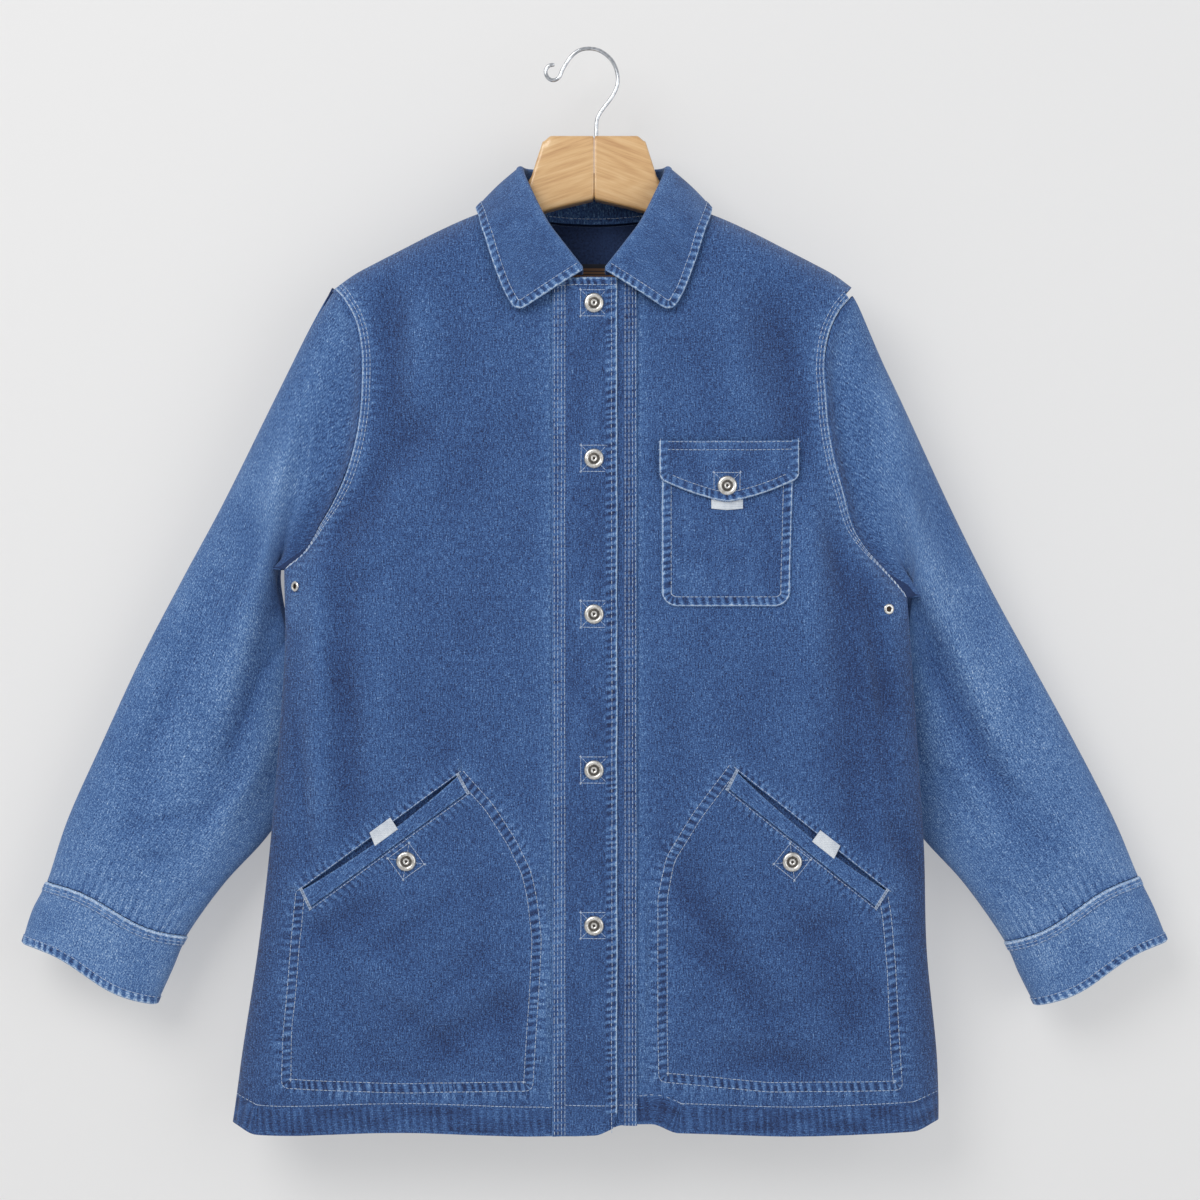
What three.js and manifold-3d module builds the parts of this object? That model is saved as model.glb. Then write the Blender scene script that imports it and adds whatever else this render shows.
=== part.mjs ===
// A denim chore jacket, buttoned up, hanging on a wooden coat hanger, at real size in millimetres.
// +Z is up, the front of the jacket faces -Y, and the origin is where a rod bears inside the hanger's hook.
// Right and left are the wearer's: the wearer's right side lies at -X. Cloth is a wall of real thickness.
import * as THREE from "three";
import { mergeVertices } from "three/addons/utils/BufferGeometryUtils.js";
import Module from "manifold-3d";

const wasm = await Module();
wasm.setup();

// Driving dimensions
const CLOTH = 1.6; // one ply of denim with its nap
const DOUBLE = 2.3; // two plies, as in the placket, collar and cuffs
const SEAM_GAP = 0.3; // clearance between two pieces that are sewn together
const HEM_Z = -964;
const HEM_DEPTH = 28; // the turned-up hem, two plies
const HEM_EXTRA = 0.9;
const NECK_HALF = 78; // half the width of the neck opening
const NECK_SIDE_Z = -138;
const NECK_FRONT_Z = -207;
const NECK_BACK_Z = -153;
const COLLAR_TOP_Z = -130; // height that the shoulder line would reach at the neck
const SHOULDER_ROUND = 32; // depth over which the shoulder rounds off below its ridge
const SIDE_ROUND = 70; // width over which the front rounds off to the side seam
const BACK_ROUND = 150;
const BACK_EDGE = { width: 18, rise: 6 };
const UNDERARM = { right: -465, left: -490 };
const TIP = { right: { x: -234, z: -213 }, left: { x: 230, z: -222 } };
const SNAP = { radius: 8.7, first: -231, pitch: 136.7, count: 5 };
const EYELET = { outer: 4.6, inner: 2, thick: 1.2 };
const SIDES = ["right", "left"];
const SIGN = { right: -1, left: 1 };

// Outline of the body from hem to underarm, as seen from the front
const SIDE_SEAM = [
  { z: -964, right: -324, left: 308 },
  { z: -937, right: -320, left: 308 },
  { z: -893, right: -314, left: 306 },
  { z: -804, right: -300, left: 297 },
  { z: -715, right: -289, left: 294 },
  { z: -626, right: -281, left: 288 },
  { z: -537, right: -275, left: 282 },
  { z: -465, right: -276, left: 277 },
];

// Armhole, from the underarm (f = 0) to the tip of the shoulder (f = 1)
const ARMHOLE = [
  { f: 0, right: -276, left: 278 },
  { f: 0.05, right: -260, left: 268 },
  { f: 0.1, right: -251, left: 256 },
  { f: 0.16, right: -243, left: 242 },
  { f: 0.235, right: -232, left: 230 },
  { f: 0.335, right: -220, left: 222 },
  { f: 0.44, right: -212, left: 214 },
  { f: 0.56, right: -207, left: 208 },
  { f: 0.67, right: -205.5, left: 205.5 },
  { f: 0.77, right: -206, left: 204 },
  { f: 0.87, right: -211, left: 208 },
  { f: 0.95, right: -222, left: 218 },
  { f: 1, right: -234, left: 230 },
];

// Shoulder line against the distance from the middle
const SHOULDER = [
  { x: 0, z: -130 },
  { x: 78, z: -138 },
  { x: 105, z: -147 },
  { x: 122, z: -154 },
  { x: 145, z: -165 },
  { x: 170, z: -178 },
  { x: 195, z: -191 },
  { x: 215, z: -202 },
  { x: 234, z: -216 },
];

// Depth of the body: where the side seam or the ridge lies, and how far front and back stand off it
const DEPTH = [
  { z: -964, seam: -4, front: 33, back: 30 },
  { z: -860, seam: -6, front: 36, back: 36 },
  { z: -760, seam: -11, front: 34, back: 43 },
  { z: -680, seam: -16, front: 30, back: 50 },
  { z: -580, seam: -18, front: 29, back: 53 },
  { z: -490, seam: -16, front: 31, back: 51 },
  { z: -400, seam: -10, front: 35, back: 45 },
  { z: -300, seam: -7, front: 37, back: 41 },
  { z: -210, seam: -6, front: 36, back: 40 },
  { z: -150, seam: -1, front: 36, back: 36 },
  { z: -130, seam: 0, front: 36, back: 36 },
];

// Largest folds of the body: a trough (depth > 0) or ridge (depth < 0) from one point to the other
const FRONT_FOLDS = [
  { x0: -182, z0: -205, x1: -176, z1: -345, width: 17, depth: 6 },
  { x0: -150, z0: -215, x1: -158, z1: -330, width: 15, depth: -4 },
  { x0: -232, z0: -440, x1: -150, z1: -330, width: 16, depth: 6 },
  { x0: -246, z0: -470, x1: -240, z1: -690, width: 12, depth: -6 },
  { x0: -222, z0: -450, x1: -216, z1: -700, width: 13, depth: 6 },
  { x0: -180, z0: -470, x1: -190, z1: -640, width: 20, depth: -3 },
  { x0: 150, z0: -210, x1: 186, z1: -370, width: 17, depth: 6 },
  { x0: 118, z0: -225, x1: 132, z1: -330, width: 15, depth: -4 },
  { x0: 236, z0: -470, x1: 262, z1: -600, width: 10, depth: 7 },
  { x0: 214, z0: -440, x1: 232, z1: -720, width: 15, depth: 6 },
  { x0: 196, z0: -400, x1: 186, z1: -600, width: 17, depth: -5 },
  { x0: 262, z0: -690, x1: 296, z1: -745, width: 9, depth: 5 },
  { x0: 60, z0: -700, x1: 150, z1: -860, width: 17, depth: 6 },
  { x0: 190, z0: -770, x1: 235, z1: -880, width: 17, depth: 5 },
  { x0: 110, z0: -890, x1: 210, z1: -905, width: 14, depth: 4 },
  { x0: -250, z0: -790, x1: -190, z1: -760, width: 13, depth: 5 },
  { x0: -150, z0: -890, x1: -60, z1: -845, width: 16, depth: 6 },
  { x0: -200, z0: -810, x1: -150, z1: -850, width: 15, depth: -4 },
];
const BACK_FOLDS = [
  { x0: -200, z0: -250, x1: -150, z1: -520, width: 20, depth: 6 },
  { x0: 196, z0: -260, x1: 160, z1: -540, width: 20, depth: 6 },
  { x0: -90, z0: -200, x1: -70, z1: -620, width: 24, depth: 4 },
  { x0: 84, z0: -210, x1: 96, z1: -600, width: 24, depth: 4 },
  { x0: -230, z0: -640, x1: -200, z1: -900, width: 20, depth: 6 },
  { x0: 226, z0: -660, x1: 190, z1: -905, width: 20, depth: 6 },
  { x0: -60, z0: -700, x1: -30, z1: -900, width: 22, depth: -4 },
  { x0: 70, z0: -690, x1: 50, z1: -910, width: 22, depth: -4 },
];

// Sleeves: outer (o) and inner (i) outline points of each station, and the depth of the tube there
const CUFF_FROM = 8;
const CUFF_TO = 10;
const SLEEVE = {
  right: [
    { v: 0, ox: -234, oz: -213, ix: -276, iz: -465, front: -26, back: 24 },
    { v: 1, ox: -256, oz: -252, ix: -292, iz: -468, front: -31, back: 30 },
    { v: 2, ox: -287, oz: -314, ix: -286, iz: -500, front: -31, back: 35 },
    { v: 3, ox: -332, oz: -403, ix: -264, iz: -560, front: -22, back: 37 },
    { v: 4, ox: -371, oz: -474, ix: -258, iz: -612, front: -13, back: 37 },
    { v: 5, ox: -409, oz: -546, ix: -268, iz: -662, front: -8, back: 37 },
    { v: 6, ox: -442, oz: -617, ix: -296, iz: -706, front: -6, back: 37 },
    { v: 7, ox: -474, oz: -688, ix: -334, iz: -748, front: -5, back: 37 },
    { v: 8, ox: -493, oz: -745, ix: -367, iz: -794, front: -4, back: 36 },
    { v: 9, ox: -506, oz: -772, ix: -381, iz: -825, front: -5, back: 36 },
    { v: 10, ox: -515, oz: -801, ix: -395, iz: -856, front: -6, back: 36 },
  ],
  left: [
    { v: 0, ox: 230, oz: -222, ix: 278, iz: -490, front: -26, back: 24 },
    { v: 1, ox: 249, oz: -260, ix: 296, iz: -492, front: -31, back: 30 },
    { v: 2, ox: 274, oz: -312, ix: 291, iz: -524, front: -31, back: 35 },
    { v: 3, ox: 317, oz: -403, ix: 268, iz: -575, front: -22, back: 37 },
    { v: 4, ox: 355, oz: -478, ix: 262, iz: -624, front: -13, back: 37 },
    { v: 5, ox: 393, oz: -547, ix: 272, iz: -670, front: -8, back: 37 },
    { v: 6, ox: 432, oz: -618, ix: 298, iz: -708, front: -6, back: 37 },
    { v: 7, ox: 468, oz: -688, ix: 334, iz: -748, front: -5, back: 37 },
    { v: 8, ox: 490, oz: -740, ix: 370, iz: -799, front: -4, back: 36 },
    { v: 9, ox: 504, oz: -769, ix: 384, iz: -829, front: -5, back: 36 },
    { v: 10, ox: 516, oz: -799, ix: 398, iz: -857, front: -6, back: 36 },
  ],
};
const SLEEVE_FOLDS = [
  { x0: -262, z0: -330, x1: -330, z1: -600, width: 15, depth: -5 },
  { x0: -268, z0: -450, x1: -330, z1: -640, width: 14, depth: 7 },
  { x0: -330, z0: -440, x1: -420, z1: -690, width: 14, depth: 4 },
  { x0: -280, z0: -600, x1: -345, z1: -720, width: 11, depth: -4 },
  { x0: 262, z0: -380, x1: 370, z1: -640, width: 14, depth: -5 },
  { x0: 286, z0: -500, x1: 392, z1: -720, width: 14, depth: 7 },
  { x0: 330, z0: -450, x1: 430, z1: -660, width: 12, depth: -4 },
  { x0: 300, z0: -400, x1: 400, z1: -600, width: 12, depth: 4 },
];
// The valley where the sleeve turns in beside its seam
const ARMHOLE_DIP = { depth: 12, at: 0.5, width: 0.42 };
const CUFF_WAVE = 4;
const TUCK = { back: 15, thin: 0.5 }; // the inner edge of the sleeve lies flat behind the body

// Placket bands: the right one laps over the left one
const PLACKETS = {
  right: { from: -37, to: 20.5, top: -208, bottom: -970, corner: 8 },
  left: { from: -14, to: 38, top: -209, bottom: -957, corner: 0 },
};
const PANEL_END = { right: -27, left: 26 };
const STEP_UP = -15; // the upper band has climbed over the lower one here

// Hip pockets: corners of the slanted mouth, and the bag behind it
const HIP = {
  right: {
    upperSide: [-259, -746],
    upperMid: [-119, -645],
    lowerMid: [-110.4, -661],
    lowerSide: [-250.4, -763.5],
  },
  left: {
    upperSide: [259, -747.4],
    upperMid: [125, -641.7],
    lowerMid: [117, -657.7],
    lowerSide: [248.7, -763.2],
  },
};
const HIP_BAG = [
  { z: -928, right: [-277, -54], left: [273, 57] },
  { z: -876, right: [-274, -50], left: [268, 56] },
  { z: -832, right: [-271, -47], left: [265, 55] },
  { z: -790, right: [-267, -46], left: [262, 55] },
  { z: -755, right: [-264, -49], left: [261, 56] },
  { z: -731, right: [-242, -56], left: [241, 62] },
  { z: -703, right: [-203, -68], left: [206, 73] },
  { z: -671, right: [-159, -88], left: [166, 94] },
  { z: -640, right: [-120, -113], left: [127, 118] },
];
const WELT_GAP = 5; // widest opening between the welt's free edge and the front
const TAPE = 0.8;
const HIP_TAB = { along: 25, below: 7.5, above: 5 };
const HIP_SNAP = { right: [-165.2, -721.8], left: [174.4, -722.3] };
const HIP_TAB_AT = { right: 0.52, left: 0.4 };

const CHEST = { left: 59, right: 176, top: -362, bottom: -498, corner: 14 };
const FLAP = { left: 57, right: 180, top: -352, shoulder: -386, tip: -406, snapZ: -391.6, middle: 117 };
const CHEST_TAB = { left: 103, right: 131, top: -398, bottom: -413 };
const LABEL = { half: 31, top: -187, bottom: -221 };

// Collar, from the front end to the middle of the back:
// turn round the neck, fold (k), outer edge (q), way out (o)
const COLLAR = [
  { s: 0, turn: 7.4, kx: 10, ky: -50, kz: -203, qx: 68, qy: -49, qz: -240, ox: 0.1, oy: -1 },
  { s: 1, turn: 26, kx: 29, ky: -51, kz: -179, qx: 80, qy: -48, qz: -219, ox: 0.2, oy: -1 },
  { s: 2, turn: 48, kx: 42, ky: -46, kz: -161, qx: 90, qy: -46, qz: -192, ox: 0.45, oy: -0.9 },
  { s: 3, turn: 70, kx: 55, ky: -32, kz: -136, qx: 99, qy: -40, qz: -164, ox: 0.8, oy: -0.6 },
  { s: 4, turn: 90, kx: 66, ky: -6, kz: -109, qx: 104, qy: -8, qz: -143, ox: 1, oy: 0 },
  { s: 5, turn: 132, kx: 57, ky: 22, kz: -106, qx: 90, qy: 37, qz: -152, ox: 0.6, oy: 0.8 },
  { s: 6, turn: 180, kx: 0, ky: 31, kz: -108, qx: 0, qy: 41, qz: -172, ox: 0, oy: 1 },
];
const COLLAR_FOLD = 2.6; // radius of the fold's centreline
const COLLAR_CLEAR = 1.9; // the stand starts this far along from the neckline

// Hanger
const HANGER = { half: 216, thick: 23, blockHalf: 46, blockTop: -77, flare: 56, flareZ: -113, apexZ: -134 };
const WIRE = 1.8;
const HOOK_PATH = [
  [2, -76.5], [2, -70], [2.6, -62], [5, -56], [10, -49], [16, -41], [20, -33], [21.3, -26], [20.3, -18],
  [16.6, -9.5], [11, -3.4], [4.6, 0.6], [-2, 2.2], [-9, 2], [-15, -0.2], [-20.5, -4.8],
  [-25, -11], [-28.5, -17],
  [-30.8, -22.6], [-34, -25.4], [-37.6, -26], [-41, -24.2], [-43.2, -20.4], [-43, -16.2],
  [-40, -13], [-35.6, -12],
];

const mix = (a, b, t) => a + (b - a) * t;
const clamp01 = (t) => Math.min(1, Math.max(0, t));
const smooth = (t) => clamp01(t) ** 2 * (3 - 2 * clamp01(t));

// Smooth curve through one column of a table
function track(rows, by, column, at) {
  const last = rows.length - 1;
  let i = 0;
  while (i < last - 1 && at > rows[i + 1][by]) i += 1;
  const slope = (k) => {
    const a = rows[Math.max(0, k - 1)];
    const b = rows[Math.min(last, k + 1)];
    return (b[column] - a[column]) / (b[by] - a[by]);
  };
  const span = rows[i + 1][by] - rows[i][by];
  const t = clamp01((at - rows[i][by]) / span);
  const [p0, p1, m0, m1] = [rows[i][column], rows[i + 1][column], slope(i) * span, slope(i + 1) * span];
  return p0 + m0 * t + (3 * (p1 - p0) - 2 * m0 - m1) * t * t + (2 * (p0 - p1) + m0 + m1) * t ** 3;
}

// Sum of the folds of a table at a place, measured square to each fold's line
function foldDepth(folds, x, z) {
  let sum = 0;
  for (const { x0, z0, x1, z1, width, depth } of folds) {
    const length = Math.hypot(x1 - x0, z1 - z0);
    const along = ((x - x0) * (x1 - x0) + (z - z0) * (z1 - z0)) / length ** 2;
    const across = ((x - x0) * (z1 - z0) - (z - z0) * (x1 - x0)) / length;
    const ends = smooth(0.5 + 2.5 * along) * smooth(0.5 + 2.5 * (1 - along));
    sum += depth * Math.exp(-((across / width) ** 2)) * ends;
  }
  return sum;
}

const armholeFraction = (side, z) => (z - UNDERARM[side]) / (TIP[side].z - UNDERARM[side]);
const armholeX = (side, f) => track(ARMHOLE, "f", side, clamp01(f));
for (const side of SIDES) ARMHOLE[0][side] = track(SIDE_SEAM, "z", side, UNDERARM[side]);

function edgeX(side, z) {
  return z < UNDERARM[side] ? track(SIDE_SEAM, "z", side, z) : armholeX(side, armholeFraction(side, z));
}

const shoulderZ = (x) => track(SHOULDER, "x", "z", Math.abs(x));
const quarter = (s, e = 0) => Math.sqrt(Math.max(0, 1 - (1 - e * e) * (1 - clamp01(s)) ** 2));

// How open the armhole stands at this height: 0 at a side seam
const openness = (side, z) => 0.78 * smooth(armholeFraction(side, z) / 0.42);

// Y of the outer surface of front or back over a place in the XZ plane
function bodyY(face, x, z) {
  const side = x < 0 ? "right" : "left";
  const inset = SIGN[side] * (edgeX(side, z) - x);
  const top = quarter((shoulderZ(x) - z) / SHOULDER_ROUND);
  const seam = track(DEPTH, "z", "seam", z);
  const stand = track(DEPTH, "z", face, z);
  const e = openness(side, z);
  const fade = smooth(inset / 30) * top;
  if (face === "front") {
    const folds = foldDepth(FRONT_FOLDS, x, z) * fade;
    return seam - stand * quarter(inset / SIDE_ROUND, e) * top + folds;
  }
  const rise = BACK_EDGE.rise / stand;
  const low = rise * quarter(inset / BACK_EDGE.width) + (1 - rise) * smooth(inset / BACK_ROUND);
  const round = mix(low, quarter(inset / SIDE_ROUND, e), smooth(e / 0.5));
  return seam + stand * round * top - foldDepth(BACK_FOLDS, x, z) * fade;
}

const frontY = (x, z) => bodyY("front", x, z);

// Lower edge of the body
function hemZ(x) {
  const side = x < 0 ? "right" : "left";
  const corner = 7 * (1 - smooth((Math.abs(track(SIDE_SEAM, "z", side, HEM_Z)) - Math.abs(x)) / 25));
  const short = 8 * smooth(x / PANEL_END.left) * (1 - smooth((x - 50) / 25));
  return HEM_Z + corner + short + 1.5 * Math.sin(x / 37);
}

// A closed wall from a grid of outer points and a grid of inner points;
// wrap joins the last column to the first
function wall(outer, inner, wrap = false) {
  const rows = outer.length;
  const columns = outer[0].length;
  const positions = [...outer.flat(), ...inner.flat()].flat();
  const index = [];
  const at = (layer, r, c) => layer * rows * columns + r * columns + (c % columns);
  const quad = (a, b, c, d) => index.push(a, b, c, a, c, d);
  const across = wrap ? columns : columns - 1;
  for (let r = 0; r < rows - 1; r++) {
    for (let c = 0; c < across; c++) {
      quad(at(0, r, c), at(0, r, c + 1), at(0, r + 1, c + 1), at(0, r + 1, c));
      quad(at(1, r, c), at(1, r + 1, c), at(1, r + 1, c + 1), at(1, r, c + 1));
    }
    if (!wrap) {
      quad(at(0, r, 0), at(0, r + 1, 0), at(1, r + 1, 0), at(1, r, 0));
      const last = columns - 1;
      quad(at(0, r, last), at(1, r, last), at(1, r + 1, last), at(0, r + 1, last));
    }
  }
  for (let c = 0; c < across; c++) {
    quad(at(0, 0, c), at(1, 0, c), at(1, 0, c + 1), at(0, 0, c + 1));
    quad(at(0, rows - 1, c), at(0, rows - 1, c + 1), at(1, rows - 1, c + 1), at(1, rows - 1, c));
  }
  const geometry = new THREE.BufferGeometry();
  geometry.setAttribute("position", new THREE.Float32BufferAttribute(positions, 3));
  geometry.setIndex(index);
  return facingOut(geometry);
}

// Turns every face round where the solid would be inside out
function facingOut(geometry) {
  const p = geometry.getAttribute("position");
  const i = geometry.index.array;
  const [a, b, c] = [new THREE.Vector3(), new THREE.Vector3(), new THREE.Vector3()];
  let volume = 0;
  for (let k = 0; k < i.length; k += 3) {
    a.fromBufferAttribute(p, i[k]);
    b.fromBufferAttribute(p, i[k + 1]);
    c.fromBufferAttribute(p, i[k + 2]);
    volume += a.dot(b.cross(c));
  }
  if (volume < 0) for (let k = 0; k < i.length; k += 3) [i[k + 1], i[k + 2]] = [i[k + 2], i[k + 1]];
  return geometry;
}

// Unit normal of a surface given as point(u, v), from small steps that stay inside its range
function normalOf(point, u, v, range = { u: [0, 1], v: [0, 1] }) {
  const step = 1e-3;
  const difference = (low, high) => high.map((value, k) => value - low[k]);
  const [u0, u1] = [Math.max(range.u[0], u - step), Math.min(range.u[1], u + step)];
  const [v0, v1] = [Math.max(range.v[0], v - step), Math.min(range.v[1], v + step)];
  const du = new THREE.Vector3(...difference(point(u0, v), point(u1, v)));
  const dv = new THREE.Vector3(...difference(point(u, v0), point(u, v1)));
  return du.cross(dv).normalize().toArray();
}

const moved = (point, normal, by) => point.map((value, k) => value + normal[k] * by);
const steps = (count, shape = (t) => t) => Array.from({ length: count + 1 }, (_, i) => shape(i / count));

// Columns crowd into the rounding beside the side seam, rows into the rounding under the shoulder
const EDGE_SHARE = { columns: 0.36, width: 0.26 };
function columnShare(a) {
  const { columns, width } = EDGE_SHARE;
  if (a < columns) return width * (1 - Math.cos((Math.PI / 2) * (a / columns)));
  return mix(width, 1, (a - columns) / (1 - columns));
}
const TOP_SHARE = { rows: 0.4, height: 0.16 };
function rowShare(b) {
  const { rows, height } = TOP_SHARE;
  if (b > 1 - rows) return 1 - height * (1 - Math.cos((Math.PI / 2) * ((1 - b) / rows)));
  return (1 - height) * (b / (1 - rows));
}
const LOW_ROWS = 0.55; // share of the rows that lie below the underarm

const UNDER_MIDDLE = (UNDERARM.right + UNDERARM.left) / 2;

// Place on half of the body: a runs from the side edge to the middle, b from the hem to the top
function halfPlace(side, face, a, b) {
  const share = columnShare(a);
  const middle = face === "front" ? PANEL_END[side] : 0;
  const under = mix(UNDERARM[side], UNDER_MIDDLE, share);
  if (b <= LOW_ROWS) {
    const t = b / LOW_ROWS;
    const low = hemZ(mix(edgeX(side, HEM_Z), middle, share));
    const above = (t - HEM_SHARE) / (1 - HEM_SHARE);
    const z = t < HEM_SHARE ? low + HEM_DEPTH * (t / HEM_SHARE) : mix(low + HEM_DEPTH, under, above);
    return [mix(edgeX(side, Math.min(z, UNDERARM[side] - 1e-6)), middle, share), z];
  }
  const f = rowShare((b - LOW_ROWS) / (1 - LOW_ROWS));
  const tip = TIP[side];
  const topX = mix(tip.x, middle, share);
  const topZ = Math.abs(topX) > NECK_HALF ? shoulderZ(topX) : neckZ(face, topX);
  const low = mix(mix(UNDERARM[side], tip.z, f), mix(UNDER_MIDDLE, neckZ(face, middle), f), share);
  return [mix(armholeX(side, f), middle, share), low + f * (topZ - mix(tip.z, neckZ(face, middle), share))];
}

// Height of the neckline
function neckZ(face, x) {
  const round = Math.sqrt(Math.max(0, 1 - (x / NECK_HALF) ** 2));
  const low = face === "front" ? NECK_FRONT_Z : NECK_BACK_Z;
  return mix(NECK_SIDE_Z, low, face === "front" ? round ** 0.85 : round);
}

// Outer surface of half of the body; a seam that it shares with another piece keeps its clearance
function halfPoint(side, face, a, b) {
  const [x, z] = halfPlace(side, face, a, b);
  const away = face === "front" ? -SEAM_GAP / 2 : SEAM_GAP / 2;
  return [x, bodyY(face, x, z) + away, z];
}

const PANEL_COLUMNS = { front: 14, back: 12 };
const ARMHOLE_ROWS = 10;
const HEM_SHARE = 0.08;
const PANEL_ROWS = [0, 0.5 * HEM_SHARE * LOW_ROWS, HEM_SHARE * LOW_ROWS, (HEM_SHARE + 0.005) * LOW_ROWS];
PANEL_ROWS.push(...steps(12, (t) => mix(0.14, 1, t) * LOW_ROWS));
const armholeShare = (t) => (t * (ARMHOLE_ROWS - 1) + 1) / ARMHOLE_ROWS;
PANEL_ROWS.push(...steps(ARMHOLE_ROWS - 1, (t) => mix(LOW_ROWS, 1, armholeShare(t))));

// The steep side of the neckline gets columns of its own
const NECK_COLUMNS = [NECK_HALF, NECK_HALF - 3.5, NECK_HALF - 11];
function panelColumns(side, face) {
  const middle = face === "front" ? PANEL_END[side] : 0;
  const tip = Math.abs(TIP[side].x);
  const { columns, width } = EDGE_SHARE;
  const neck = NECK_COLUMNS.map((x) => {
    const share = (tip - x) / (tip - Math.abs(middle));
    return columns + ((share - width) / (1 - width)) * (1 - columns);
  });
  const clear = 0.4 / PANEL_COLUMNS[face];
  const plain = steps(PANEL_COLUMNS[face]).filter((a) => neck.every((n) => Math.abs(a - n) > clear));
  return [...plain, ...neck].sort((a, b) => a - b);
}

function halfGrid(side, face) {
  const point = (a, b) => halfPoint(side, face, a, b);
  const turn = (side === "right") === (face === "front") ? 1 : -1;
  const outer = [];
  const inner = [];
  for (const b of PANEL_ROWS) {
    const normals = panelColumns(side, face).map((a) => normalOf(point, a, b).map((n) => n * turn));
    const extra = b <= HEM_SHARE * LOW_ROWS ? HEM_EXTRA : 0;
    const row = panelColumns(side, face).map((a) => point(a, b));
    outer.push(row);
    inner.push(row.map((p, i) => moved(p, normals[i], -(CLOTH + extra))));
  }
  return { outer, inner };
}

const joined = (right, left, middle) =>
  right.map((row, r) => [...row, ...middle(r), ...[...left[r]].reverse()]);
const HALVES = { right: halfGrid("right", "front"), left: halfGrid("left", "front") };
const BACK_HALVES = { right: halfGrid("right", "back"), left: halfGrid("left", "back") };

// Points of the whole front across the opening, outside and inside
function middlePoints(layer, deep) {
  return (r) =>
    [STEP_UP, 0].map((x) => {
      const z = (HALVES.right[layer][r].at(-1)[2] + HALVES.left[layer][r].at(-1)[2]) / 2;
      return [x, frontY(x, z) - SEAM_GAP / 2 + deep, z];
    });
}
const FRONT_SHEET = {
  outer: joined(HALVES.right.outer, HALVES.left.outer, middlePoints("outer", 0)),
  inner: joined(HALVES.right.inner, HALVES.left.inner, middlePoints("inner", CLOTH)),
};
const BACK_SHEET = {
  outer: joined(BACK_HALVES.right.outer.map((row) => row.slice(0, -1)), BACK_HALVES.left.outer, () => []),
  inner: joined(BACK_HALVES.right.inner.map((row) => row.slice(0, -1)), BACK_HALVES.left.inner, () => []),
};

// The left half runs from the middle to the side, as it does in the whole front
function frontPanel(side) {
  const turned = (grid) => (side === "left" ? grid.map((row) => [...row].reverse()) : grid);
  const { outer, inner } = HALVES[side];
  return cutMouth(wall(turned(outer), turned(inner)), side);
}
const backPanel = () => wall(BACK_SHEET.outer, BACK_SHEET.inner);

const solidFrom = (geometry) => {
  geometry.deleteAttribute("normal");
  geometry.deleteAttribute("uv");
  const merged = mergeVertices(geometry, 1e-4);
  const mesh = new wasm.Mesh({
    numProp: 3,
    vertProperties: merged.attributes.position.array,
    triVerts: new Uint32Array(merged.index.array),
  });
  return new wasm.Manifold(mesh);
};

function geometryFrom(solid) {
  const mesh = solid.getMesh();
  const geometry = new THREE.BufferGeometry();
  geometry.setAttribute("position", new THREE.BufferAttribute(new Float32Array(mesh.vertProperties), 3));
  geometry.setIndex(new THREE.BufferAttribute(new Uint32Array(mesh.triVerts), 1));
  return geometry;
}

// Upright prism over an outline in the XZ plane
function prism(outline, reach = 90) {
  const shape = new THREE.Shape(outline.map(([x, z]) => new THREE.Vector2(x, z)));
  const block = new THREE.ExtrudeGeometry(shape, { depth: 2 * reach, bevelEnabled: false });
  block.rotateX(Math.PI / 2);
  block.translate(0, reach, 0);
  return solidFrom(block);
}

// Cuts the slanted mouth of the hip pocket through the front
function cutMouth(geometry, side) {
  const { upperSide, upperMid, lowerMid, lowerSide } = HIP[side];
  return geometryFrom(solidFrom(geometry).subtract(prism([upperSide, upperMid, lowerMid, lowerSide])));
}

// A piece that lies on a panel: the panel's own points moved out from one lift to another, cut to an outline
function laid(sheet, outline, low, high) {
  const climb = (by, x) => (typeof by === "function" ? by(x) : by);
  const lift = (by) => sheet.map((row) => row.map(([x, y, z]) => [x, y - climb(by, x), z]));
  return geometryFrom(solidFrom(wall(lift(high), lift(low))).intersect(prism(outline)));
}

// The upper band starts on the front and climbs over the lower one
const STEP_RUN = STEP_UP - PANEL_END.right;
const climbShare = (x) => clamp01((x - PANEL_END.right) / STEP_RUN);
const bandLift = (x) => SEAM_GAP + (DOUBLE + SEAM_GAP) * climbShare(x);

function placket(side) {
  const { from, to, top, bottom, corner } = PLACKETS[side];
  const outline = [[from, bottom], [to - corner, bottom], [to, bottom + 3 * corner], [to, top], [from, top]];
  if (side === "left") return laid(FRONT_SHEET.outer, outline, SEAM_GAP, SEAM_GAP + DOUBLE);
  return laid(FRONT_SHEET.outer, outline, bandLift, (x) => bandLift(x) + DOUBLE);
}

function chestPocket() {
  const { left, right, top, bottom, corner } = CHEST;
  const bend = 0.3 * corner;
  const lower = [
    [right - corner - 3, bottom],
    [right - bend - 3, bottom + bend],
    [right - 3, bottom + corner],
  ];
  const leftSide = [[left, top], [left, bottom + corner], [left + bend, bottom + bend]];
  const outline = [...leftSide, [left + corner, bottom], ...lower];
  return laid(FRONT_SHEET.outer, [...outline, [right, top]], SEAM_GAP, SEAM_GAP + CLOTH);
}

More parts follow.
